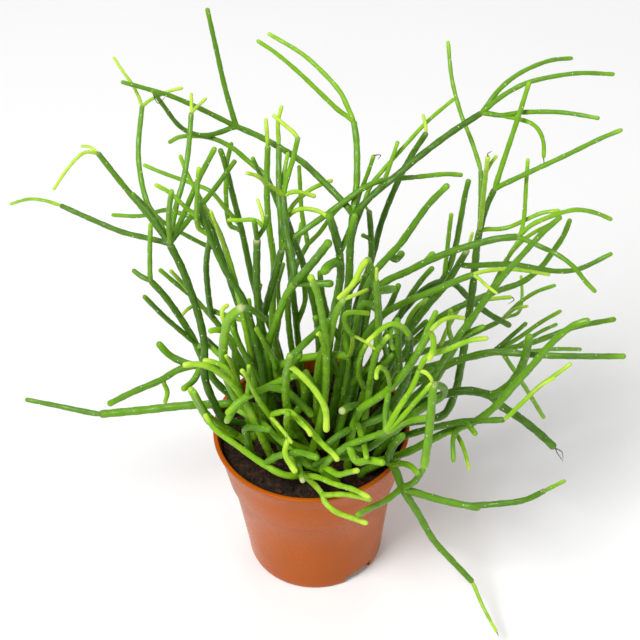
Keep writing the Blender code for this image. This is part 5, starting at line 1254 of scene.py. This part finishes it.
def mottle_group():
    """A soft mask of patches, for uneven colour and gloss."""
    group, given, result = new_group(
        "uneven_patches",
        (("Place", "NodeSocketVector", None), ("Scale", "NodeSocketFloat", 100.0),
         ("Detail", "NodeSocketFloat", 3.0), ("Low", "NodeSocketFloat", 0.35),
         ("High", "NodeSocketFloat", 0.65)),
        (("Mask", "NodeSocketFloat"),))
    patches = group.nodes.new("ShaderNodeTexNoise")
    limits = group.nodes.new("ShaderNodeMapRange")
    limits.interpolation_type = "SMOOTHSTEP"
    for label, socket in (("Place", patches.inputs["Vector"]), ("Scale", patches.inputs["Scale"]),
                          ("Detail", patches.inputs["Detail"]), ("Low", limits.inputs["From Min"]),
                          ("High", limits.inputs["From Max"])):
        group.links.new(given.outputs[label], socket)
    group.links.new(patches.outputs["Fac"], limits.inputs["Value"])
    group.links.new(limits.outputs["Result"], result.inputs["Mask"])
    return group


def grain_group():
    """A fine rough surface, as a normal."""
    group, given, result = new_group(
        "fine_grain",
        (("Place", "NodeSocketVector", None), ("Scale", "NodeSocketFloat", 900.0),
         ("Depth", "NodeSocketFloat", 0.0001), ("Strength", "NodeSocketFloat", 0.5)),
        (("Normal", "NodeSocketVector"),))
    grain = group.nodes.new("ShaderNodeTexNoise")
    grain.inputs["Detail"].default_value = 4.0
    bump = group.nodes.new("ShaderNodeBump")
    for label, socket in (("Place", grain.inputs["Vector"]), ("Scale", grain.inputs["Scale"]),
                          ("Depth", bump.inputs["Distance"]), ("Strength", bump.inputs["Strength"])):
        group.links.new(given.outputs[label], socket)
    group.links.new(grain.outputs["Fac"], bump.inputs["Height"])
    group.links.new(bump.outputs["Normal"], result.inputs["Normal"])
    return group


class Palette:
    """Places nodes in one material and links them."""

    def __init__(self, name, roughness, specular=0.5):
        self.material = bpy.data.materials.new(name)
        self.material.use_nodes = True
        self.nodes = self.material.node_tree.nodes
        self.links = self.material.node_tree.links
        self.shader = self.nodes["Principled BSDF"]
        self.shader.inputs["Roughness"].default_value = roughness
        self.shader.inputs["Specular IOR Level"].default_value = specular
        self.place = self.nodes.new("ShaderNodeTexCoord")

    def group(self, name, source=None, **values):
        """A node group of this file, on the object's own coordinates unless told otherwise."""
        node = self.nodes.new("ShaderNodeGroup")
        node.node_tree = bpy.data.node_groups[name]
        self.links.new(source or self.place.outputs["Object"], node.inputs["Place"])
        for label, value in values.items():
            node.inputs[label].default_value = value
        return node.outputs[0]

    def fact(self, name):
        node = self.nodes.new("ShaderNodeAttribute")
        node.attribute_name = name
        return node.outputs["Fac"]

    def put(self, value, socket):
        """Links an output to a socket, or sets the socket's value."""
        if isinstance(value, bpy.types.NodeSocket):
            self.links.new(value, socket)
        else:
            socket.default_value = value

    def calculate(self, operation, first, second, clamp=False):
        node = self.nodes.new("ShaderNodeMath")
        node.operation = operation
        node.use_clamp = clamp
        self.put(first, node.inputs[0])
        self.put(second, node.inputs[1])
        return node.outputs[0]

    def mix(self, share, first, second):
        node = self.nodes.new("ShaderNodeMix")
        node.data_type = "RGBA"
        self.put(share, node.inputs["Factor"])
        for value, socket in ((first, node.inputs["A"]), (second, node.inputs["B"])):
            self.put((*value, 1.0) if not isinstance(value, bpy.types.NodeSocket) else value, socket)
        return node.outputs["Result"]

    def stretched(self, scale):
        """The piece's own map, stretched."""
        node = self.nodes.new("ShaderNodeMapping")
        node.inputs["Scale"].default_value = scale
        self.links.new(self.place.outputs["UV"], node.inputs["Vector"])
        return node.outputs["Vector"]


def plastic_material(settings):
    """Satin terracotta-coloured plastic with uneven gloss, fine grain and a little soil dust."""
    look = Palette("terracotta_plastic", 0.3, 0.13)
    broad = look.group("uneven_patches", Scale=16.0, Detail=3.0, Low=0.3, High=0.7)
    fine = look.group("uneven_patches", Scale=420.0, Detail=6.0, Low=0.42, High=0.75)
    dust = look.group("uneven_patches", Scale=70.0, Detail=8.0, Low=0.62, High=0.80)
    dull = tuple(0.86 * part for part in settings.colour)
    colour = look.mix(broad, tuple(settings.colour), dull)
    colour = look.mix(look.calculate("MULTIPLY", dust, 0.10), colour, tuple(settings.dust_colour))
    look.put(colour, look.shader.inputs["Base Color"])
    rough = look.calculate("MULTIPLY", fine, 0.10)
    rough = look.calculate("ADD", rough, look.calculate("MULTIPLY", broad, 0.08))
    look.put(look.calculate("ADD", rough, 0.24), look.shader.inputs["Roughness"])
    grain = look.group("fine_grain", Scale=1500.0, Depth=0.00003, Strength=0.2)
    look.put(grain, look.shader.inputs["Normal"])
    return look.material


def soil_material(settings, name, bark_share, roughness):
    """Moist peat with reddish bark in it."""
    look = Palette(name, roughness, 0.3)
    patches = look.group("uneven_patches", Scale=260.0, Detail=5.0, Low=0.5 - 0.3 * bark_share, High=0.78)
    fine = look.group("uneven_patches", Scale=1200.0, Detail=4.0, Low=0.3, High=0.7)
    light = look.mix(fine, tuple(settings.bark_colour), tuple(0.4 * part for part in settings.bark_colour))
    look.put(look.mix(patches, tuple(settings.colour), light), look.shader.inputs["Base Color"])
    grain = look.group("fine_grain", Scale=900.0, Depth=0.0006, Strength=0.9)
    look.put(grain, look.shader.inputs["Normal"])
    return look.material


def stem_material(settings):
    """Waxy green skin: old to fresh by its youth, paler at tips, marked at joints, streaked along in
    roughness and bump, with a painted silvery sheen along the streaks.
    """
    look = Palette("green_skin", 0.42, 0.26)
    patches = look.group("uneven_patches", Scale=190.0, Detail=4.0, Low=0.25, High=0.75)
    # Streaks along the stem set its roughness and bump, and also carry a painted sheen in its colour.
    streaks = look.group(
        "uneven_patches", look.stretched((9.0, 0.9, 1.0)), Scale=1.6, Detail=5.0, Low=0.42, High=0.72)
    flecks = look.group("uneven_patches", Scale=1500.0, Detail=2.0, Low=0.60, High=0.72)
    youth, tip = look.fact("youth"), look.fact("tip")
    scar, tone = look.fact("scar"), look.fact("tone")
    age = look.calculate("ADD", youth, look.calculate("MULTIPLY", tip, 0.32))
    age = look.calculate("ADD", age, look.calculate("MULTIPLY", tone, 0.07))
    age = look.calculate("ADD", age, look.calculate("MULTIPLY", patches, 0.14), clamp=True)
    ramp = look.nodes.new("ShaderNodeValToRGB")
    stops = ((0.02, settings.old_colour), (0.42, settings.grown_colour), (0.80, settings.fresh_colour),
             (1.0, settings.tip_colour))
    while len(ramp.color_ramp.elements) < len(stops):
        ramp.color_ramp.elements.new(0.5)
    for stop, (place, colour) in zip(ramp.color_ramp.elements, stops):
        stop.position = place
        stop.color = (*colour, 1.0)
    look.put(age, ramp.inputs["Fac"])
    # Painted sheen: along the streaks the colour is mixed towards a pale grey-green, more on old stems,
    # standing in for light caught along the stems.
    painted_sheen_share = look.calculate("SUBTRACT", 0.24, look.calculate("MULTIPLY", age, 0.22), clamp=True)
    colour = look.mix(look.calculate("MULTIPLY", streaks, painted_sheen_share), ramp.outputs["Color"], (0.17, 0.33, 0.07))
    colour = look.mix(look.calculate("MULTIPLY", flecks, 0.16), colour, (0.34, 0.50, 0.10))
    pale = look.calculate("MULTIPLY", scar, 0.55, clamp=True)
    brown = look.calculate("MULTIPLY", scar, -0.9, clamp=True)
    colour = look.mix(pale, colour, (0.50, 0.52, 0.24))
    colour = look.mix(brown, colour, (0.14, 0.07, 0.03))
    look.put(colour, look.shader.inputs["Base Color"])
    rough = look.calculate("MULTIPLY", streaks, 0.16)
    look.put(look.calculate("ADD", rough, 0.26), look.shader.inputs["Roughness"])
    bump = look.nodes.new("ShaderNodeBump")
    bump.inputs["Distance"].default_value = 0.0003
    bump.inputs["Strength"].default_value = 0.55
    height = look.calculate("ADD", streaks, look.calculate("MULTIPLY", patches, 0.7))
    look.put(height, bump.inputs["Height"])
    look.put(bump.outputs["Normal"], look.shader.inputs["Normal"])
    return look.material


def areole_material():
    """Cream wool of the areoles."""
    look = Palette("areole_wool", 0.8, 0.3)
    patches = look.group("uneven_patches", Scale=2500.0, Detail=2.0, Low=0.3, High=0.7)
    look.put(look.mix(patches, (0.85, 0.88, 0.70), (0.60, 0.66, 0.40)), look.shader.inputs["Base Color"])
    return look.material


def thread_material():
    """Dried brown-black flower threads."""
    look = Palette("dried_thread", 0.7, 0.3)
    patches = look.group("uneven_patches", Scale=900.0, Detail=2.0, Low=0.3, High=0.7)
    look.put(look.mix(patches, (0.012, 0.008, 0.006), (0.06, 0.035, 0.02)), look.shader.inputs["Base Color"])
    return look.material


def pull_ring(radius, old_radius, rise):
    """Extrudes the chosen edge ring, lifts it and brings it to a radius."""
    bpy.ops.mesh.extrude_region_move(TRANSFORM_OT_translate={"value": (0.0, 0.0, rise * MM)})
    share = radius / old_radius
    bpy.ops.transform.resize(value=(share, share, 1.0), center_override=(0.0, 0.0, 0.0))


def turned_by_hand(name, profile, sides):
    """A round piece: a circle pulled along a profile of radius and height, and closed at both ends."""
    choose_nothing()
    bpy.ops.mesh.primitive_circle_add(vertices=sides, radius=profile[0][0] * MM, fill_type="NOTHING",
                                      location=(0.0, 0.0, profile[0][1] * MM))
    piece = bpy.context.object
    piece.name = name
    bpy.ops.object.transform_apply(location=True, rotation=False, scale=False)
    bpy.ops.object.mode_set(mode="EDIT")
    bpy.ops.mesh.select_all(action="SELECT")
    bpy.ops.mesh.edge_face_add()
    bpy.ops.mesh.select_all(action="SELECT")
    bpy.ops.mesh.delete(type="ONLY_FACE")
    bpy.ops.mesh.select_all(action="SELECT")
    for (old_radius, old_z), (radius, z) in zip(profile[:-1], profile[1:]):
        pull_ring(radius, old_radius, z - old_z)
    bpy.ops.mesh.edge_face_add()
    bpy.ops.object.mode_set(mode="OBJECT")
    mesh = bmesh.new()
    mesh.from_mesh(piece.data)
    open_edges = [edge for edge in mesh.edges if edge.is_boundary]
    bmesh.ops.holes_fill(mesh, edges=open_edges, sides=0)
    bmesh.ops.recalc_face_normals(mesh, faces=mesh.faces)
    mesh.to_mesh(piece.data)
    mesh.free()
    return piece


def cut_away(piece, cutter):
    """Cuts a helper out of a piece and removes the helper."""
    cut = piece.modifiers.new("cut", "BOOLEAN")
    cut.operation = "DIFFERENCE"
    cut.solver = "EXACT"
    cut.object = cutter
    choose_nothing()
    piece.select_set(True)
    bpy.context.view_layer.objects.active = piece
    bpy.ops.object.modifier_apply(modifier=cut.name)
    bpy.data.objects.remove(cutter)


def rounded_lip(mouth_radius):
    """The lip's section: from the mouth over its rounded top and down its outside."""
    lip_low = POT_HEIGHT - LIP_HEIGHT
    points = []
    for middle, turns in ((mouth_radius + LIP_ROUNDING, (180.0, 150.0, 120.0, 90.0)),
                          (RIM_RADIUS - LIP_ROUNDING, (90.0, 60.0, 30.0, 0.0))):
        for degrees in turns:
            turn = math.radians(degrees)
            points.append((middle + LIP_ROUNDING * math.cos(turn),
                           POT_HEIGHT - LIP_ROUNDING + LIP_ROUNDING * math.sin(turn)))
    points.append((RIM_RADIUS, lip_low + 0.5))
    points.append((RIM_RADIUS - 0.2, lip_low + 0.15))
    points.append((wall_radius(lip_low) + 0.25, lip_low))
    points.append((wall_radius(lip_low - 0.6), lip_low - 0.6))
    return points


class OBJECT_OT_cactus_pot(bpy.types.Operator):
    """Builds the nursery pot"""
    bl_idname = "object.cactus_pot"
    bl_label = "Pot"

    def execute(self, context):
        settings = context.scene.cactus_pot
        floor_z = FOOT_HEIGHT + WALL
        mouth_radius = wall_radius(POT_HEIGHT, WALL)
        profile = [(2.0, floor_z), (30.0, floor_z), (wall_radius(floor_z, WALL) - 1.0, floor_z),
                   (wall_radius(floor_z, WALL), floor_z + 1.0), (wall_radius(30.0, WALL), 30.0),
                   (STEP_RADIUS - WALL, COLLAR_LOW_Z + WALL - 0.4),
                   (wall_radius(COLLAR_LOW_Z + WALL, WALL), COLLAR_LOW_Z + 2 * WALL),
                   (wall_radius(90.0, WALL), 90.0)]
        profile += rounded_lip(mouth_radius)
        profile += [(wall_radius(90.0), 90.0), (wall_radius(COLLAR_LOW_Z + 1.2), COLLAR_LOW_Z + 1.2),
                    (wall_radius(COLLAR_LOW_Z + 0.5) - 0.15, COLLAR_LOW_Z + 0.5),
                    (COLLAR_LOW_RADIUS - 0.55, COLLAR_LOW_Z + 0.1), (STEP_RADIUS + 0.35, COLLAR_LOW_Z - 0.1),
                    (STEP_RADIUS, COLLAR_LOW_Z - 0.7), (wall_radius(40.0), 40.0), (BASE_RADIUS + 1.0, 8.0),
                    (BASE_RADIUS + 0.6, 3.0), (BASE_RADIUS + 0.1, 0.9), (BASE_RADIUS - 0.4, 0.2),
                    (BASE_RADIUS - 0.9, 0.0), (BASE_RADIUS - FOOT_WIDTH + 0.4, 0.0),
                    (BASE_RADIUS - FOOT_WIDTH, 0.4), (BASE_RADIUS - FOOT_WIDTH - ROUNDING, FOOT_HEIGHT),
                    (PAD_RADIUS + ROUNDING, FOOT_HEIGHT), (PAD_RADIUS, 0.3), (PAD_RADIUS - 0.3, 0.0),
                    (2.0, 0.0)]
        pot = turned_by_hand("nursery_pot", profile, POT_SIDES)
        for number in range(NOTCH_COUNT):
            angle = FIRST_NOTCH_ANGLE + number * math.tau / NOTCH_COUNT
            reach = BASE_RADIUS - 0.5 * FOOT_WIDTH
            choose_nothing()
            bpy.ops.mesh.primitive_cube_add(
                size=1.0, location=(reach * math.cos(angle) * MM, reach * math.sin(angle) * MM, 0.0),
                rotation=(0.0, 0.0, angle),
                scale=((2 * FOOT_WIDTH + 2 * ROUNDING) * MM, NOTCH_WIDTH * MM,
                       2 * (FOOT_HEIGHT - ROUNDING) * MM))
            cut_away(pot, context.object)
        for number in range(DRAIN_COUNT):
            angle = number * math.tau / DRAIN_COUNT
            choose_nothing()
            bpy.ops.mesh.primitive_cylinder_add(
                vertices=DRAIN_SIDES, radius=DRAIN_RADIUS * MM, depth=8.0 * MM,
                location=(DRAIN_CIRCLE * math.cos(angle) * MM, DRAIN_CIRCLE * math.sin(angle) * MM,
                          floor_z * MM))
            cut_away(pot, context.object)
        choose_nothing()
        pot.select_set(True)
        context.view_layer.objects.active = pot
        bpy.ops.object.shade_smooth_by_angle(angle=SMOOTH_ANGLE)
        pot.data.materials.clear()
        pot.data.materials.append(plastic_material(settings))
        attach(pot, "root")
        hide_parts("pot")
        return {"FINISHED"}


def soil_bump(x, y):
    """Unevenness of the soil's top."""
    coarse = Vector((x / COARSE_SCALE, y / COARSE_SCALE, 0.0))
    fine = Vector((x / FINE_SCALE, y / FINE_SCALE, 5.0))
    return COARSE_BUMP * noise.noise(coarse) + FINE_BUMP * noise.noise(fine) - BUMP_DROP


class OBJECT_OT_cactus_soil(bpy.types.Operator):
    """Builds the potting soil with its crumbs and fibres"""
    bl_idname = "object.cactus_soil"
    bl_label = "Soil"

    def execute(self, context):
        settings = context.scene.cactus_soil
        inset = WALL + FIT_GAP
        top_radius = wall_radius(SOIL_Z, inset)
        choose_nothing()
        bpy.ops.mesh.primitive_circle_add(vertices=SOIL_SIDES, radius=top_radius * MM, fill_type="NGON",
                                          location=(0.0, 0.0, SOIL_Z * MM))
        soil = context.object
        soil.name = "peat_soil"
        bpy.ops.object.transform_apply(location=True, rotation=False, scale=False)
        bpy.ops.object.mode_set(mode="EDIT")
        bpy.ops.mesh.select_all(action="SELECT")
        for _ in range(SOIL_RINGS):
            bpy.ops.mesh.inset(thickness=top_radius / (SOIL_RINGS + 1) * MM)
        bpy.ops.object.mode_set(mode="OBJECT")
        mesh = bmesh.new()
        mesh.from_mesh(soil.data)
        for vertex in mesh.verts:
            x, y = vertex.co.x / MM, vertex.co.y / MM
            vertex.co.z = (soil_height(x, y) + soil_bump(x, y)) * MM
        rim = [edge for edge in mesh.edges if edge.is_boundary]
        made = bmesh.ops.extrude_edge_only(mesh, edges=rim)["geom"]
        low_z = COLLAR_LOW_Z + 4 * WALL
        for thing in made:
            if isinstance(thing, bmesh.types.BMVert):
                share = wall_radius(low_z, inset) / top_radius
                thing.co = Vector((thing.co.x * share, thing.co.y * share, low_z * MM))
        bmesh.ops.holes_fill(mesh, edges=[edge for edge in mesh.edges if edge.is_boundary], sides=0)
        bmesh.ops.recalc_face_normals(mesh, faces=mesh.faces)
        mesh.to_mesh(soil.data)
        mesh.free()
        for polygon in soil.data.polygons:
            polygon.use_smooth = True
        soil.data.materials.append(soil_material(settings, "moist_peat", 0.25, 0.85))
        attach(soil, "root")
        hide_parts("potting_soil")
        self.scatter(settings, top_radius)
        return {"FINISHED"}

    def scatter(self, settings, reach):
        """Strews crumbs of peat and bark and thin fibres over the soil."""
        chance = np.random.default_rng(SEED)
        choose_nothing()
        bpy.ops.mesh.primitive_ico_sphere_add(subdivisions=1, radius=1.0)
        model = bpy.context.object
        corners = np.array([tuple(vertex.co) for vertex in model.data.vertices])
        sides = [tuple(polygon.vertices) for polygon in model.data.polygons]
        bpy.data.objects.remove(model)
        litter = Skin()
        for _ in range(settings.crumbs):
            far = (reach - CRUMB_MARGIN) * math.sqrt(chance.uniform())
            turn = chance.uniform(0.0, math.tau)
            x, y = far * math.cos(turn), far * math.sin(turn)
            size = 0.5 + 1.5 * chance.uniform() ** 3
            shape = np.array((size * chance.uniform(0.8, 2.0), size, size * chance.uniform(0.4, 0.8)))
            lumps = corners * (1.0 + 0.25 * chance.uniform(-1, 1, (len(corners), 1))) * shape
            spin = Matrix.Rotation(chance.uniform(0.0, math.tau), 3, "Z") @ Matrix.Rotation(
                chance.uniform(-0.5, 0.5), 3, "X")
            place = np.array((x, y, soil_height(x, y) + soil_bump(x, y) + 0.25 * size))
            kind = BARK if chance.uniform() < BARK_SHARE else PEAT
            litter.add(lumps @ np.array(spin).T + place, sides, [(0.0, 0.0)] * (3 * len(sides)), kind)
        for _ in range(settings.fibres):
            far = (reach - FIBRE_MARGIN) * math.sqrt(chance.uniform())
            turn = chance.uniform(0.0, math.tau)
            x, y = far * math.cos(turn), far * math.sin(turn)
            heading, bend = chance.uniform(0.0, math.tau), chance.uniform(-0.35, 0.35)
            line = []
            for k in range(FIBRE_POINTS):
                lift = 0.4 + 0.9 * math.sin(math.pi * k / (FIBRE_POINTS - 1))
                line.append((x, y, soil_height(x, y) + soil_bump(x, y) + lift))
                heading += bend + chance.uniform(-0.25, 0.25)
                x, y = x + FIBRE_STEP * math.cos(heading), y + FIBRE_STEP * math.sin(heading)
            radii = np.full(FIBRE_POINTS, chance.uniform(0.10, 0.24))
            add_tube(litter, np.array(line), radii, FIBRE_SIDES, FIBRE)
        crumbs = litter.finish("soil_crumbs", (
            soil_material(settings, "peat_crumb", 0.4, 0.9), soil_material(settings, "bark_chip", 1.4, 0.8),
            soil_material(settings, "root_fibre", 1.9, 0.7)))
        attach(crumbs, "root")


class OBJECT_OT_cactus_stems(bpy.types.Operator):
    """Grows the stems of every shoot"""
    bl_idname = "object.cactus_stems"
    bl_label = "Stems"

    def execute(self, context):
        settings = context.scene.cactus_stems
        stems = settle(grow_shoots())
        materials = (stem_material(settings), areole_material(), thread_material())
        threads = self.threads_of(stems)
        for number, (name, _, _) in enumerate(SHOOTS):
            chance = np.random.default_rng(SEED + number)
            own = [stem for stem in stems if stem.shoot == number]
            skin = Skin()
            for stem in own:
                has_children = any(
                    other.parent is stem and other.joint >= len(stem.rest) - 3 for other in own)
                grow_stem(skin, stem, has_children, chance, settings.areole_spacing / MM)
                for line in threads.get(id(stem), ()):
                    radii = np.linspace(THREAD_RADIUS, THREAD_END * THREAD_RADIUS, len(line))
                    add_tube(skin, line, radii, THREAD_SIDES, THREAD)
            piece = skin.finish(name.replace("_shoot", "_stems"), materials)
            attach(piece, "root")
            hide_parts(name)
        return {"FINISHED"}

    def threads_of(self, stems):
        """Lines of the dried threads, by the stem whose tip each one hangs on."""
        tips = [stem.line()[-1] for stem in stems]
        seen = np.array([seen_at(tip) for tip in tips])
        threads = {}
        for marks in THREADS:
            nearest = int(np.argmin(np.linalg.norm(seen - np.array(marks[0]), axis=1)))
            tip = tips[nearest]
            start = at_depth(*marks[0], tip[1])
            line = [at_depth(*mark, tip[1]) - start + tip for mark in marks]
            threads.setdefault(id(stems[nearest]), []).append(smooth_line(line, THREAD_STEP))
        return threads


class SCENE_OT_cactus_stage(bpy.types.Operator):
    """Sets up the floor, the soft studio light and the camera"""
    bl_idname = "scene.cactus_stage"
    bl_label = "Stage"

    def execute(self, context):
        settings = context.scene.cactus_stage
        choose_nothing()
        bpy.ops.mesh.primitive_plane_add(size=12.0, location=(0.0, 0.0, -0.0002))
        floor = context.object
        floor.name = "studio_floor"
        bpy.ops.object.transform_apply(location=True, rotation=False, scale=False)
        look = Palette("floor_paper", 0.85, 0.2)
        patches = look.group("uneven_patches", Scale=3.0, Detail=2.0, Low=0.3, High=0.7)
        paper = tuple(settings.floor_colour)
        look.put(look.mix(patches, paper, tuple(0.985 * part for part in paper)),
                 look.shader.inputs["Base Color"])
        floor.data.materials.append(look.material)
        self.add_light("key_light", (-0.70, -0.75, 1.70), 0.65, settings.key_power)
        self.add_light("fill_light", (1.3, -0.7, 1.0), 1.3, settings.fill_power)
        self.add_light("back_light", (0.2, 1.4, 1.3), 1.2, settings.fill_power)
        world = context.scene.world or bpy.data.worlds.new("studio_world")
        context.scene.world = world
        world.use_nodes = True
        background = world.node_tree.nodes["Background"]
        background.inputs["Color"].default_value = (1.0, 1.0, 1.0, 1.0)
        background.inputs["Strength"].default_value = settings.sky
        right, up, forward = eye_axes()
        camera_data = bpy.data.cameras.new("studio_camera")
        camera_data.sensor_width = 36.0
        camera_data.lens = EYE_FOCUS * camera_data.sensor_width / (2 * VIEW_CENTRE)
        camera_data.clip_start = 0.05
        camera = bpy.data.objects.new("studio_camera", camera_data)
        turn = Matrix((right, up, -forward)).transposed().to_4x4()
        camera.matrix_world = Matrix.Translation(Vector(EYE * MM)) @ turn
        context.scene.collection.objects.link(camera)
        context.scene.camera = camera
        context.scene.view_settings.view_transform = "Standard"
        return {"FINISHED"}

    def add_light(self, name, place, size, power):
        """A soft square light that looks at the middle of the plant."""
        bpy.ops.object.light_add(type="AREA", location=place)
        light = bpy.context.object
        light.name = name
        light.data.size = size
        light.data.energy = power
        aim = Vector((0.0, 0.0, 0.12)) - Vector(place)
        light.rotation_euler = aim.to_track_quat("-Z", "Y").to_euler()


class VIEW3D_PT_cactus(bpy.types.Panel):
    """Settings and steps of the potted mistletoe cactus"""
    bl_label = "Mistletoe Cactus"
    bl_space_type = "VIEW_3D"
    bl_region_type = "UI"
    bl_category = "Cactus"

    def draw(self, context):
        layout = self.layout
        scene = context.scene
        for settings, operator in (
                (scene.cactus_pot, "object.cactus_pot"), (scene.cactus_soil, "object.cactus_soil"),
                (scene.cactus_stems, "object.cactus_stems"), (scene.cactus_stage, "scene.cactus_stage")):
            box = layout.box()
            for name in settings.__annotations__:
                box.prop(settings, name)
            box.operator(operator)


CLASSES = (PotSettings, SoilSettings, StemSettings, StageSettings, OBJECT_OT_cactus_pot,
           OBJECT_OT_cactus_soil, OBJECT_OT_cactus_stems, SCENE_OT_cactus_stage, VIEW3D_PT_cactus)


def register():
    for kind in CLASSES:
        bpy.utils.register_class(kind)
    bpy.types.Scene.cactus_pot = PointerProperty(type=PotSettings)
    bpy.types.Scene.cactus_soil = PointerProperty(type=SoilSettings)
    bpy.types.Scene.cactus_stems = PointerProperty(type=StemSettings)
    bpy.types.Scene.cactus_stage = PointerProperty(type=StageSettings)


def unregister():
    for name in ("cactus_pot", "cactus_soil", "cactus_stems", "cactus_stage"):
        delattr(bpy.types.Scene, name)
    for kind in reversed(CLASSES):
        bpy.utils.unregister_class(kind)


def main():
    register()
    mottle_group()
    grain_group()
    bpy.ops.scene.cactus_stage()
    bpy.ops.object.cactus_pot()
    bpy.ops.object.cactus_soil()
    bpy.ops.object.cactus_stems()


if __name__ == "__main__":
    main()
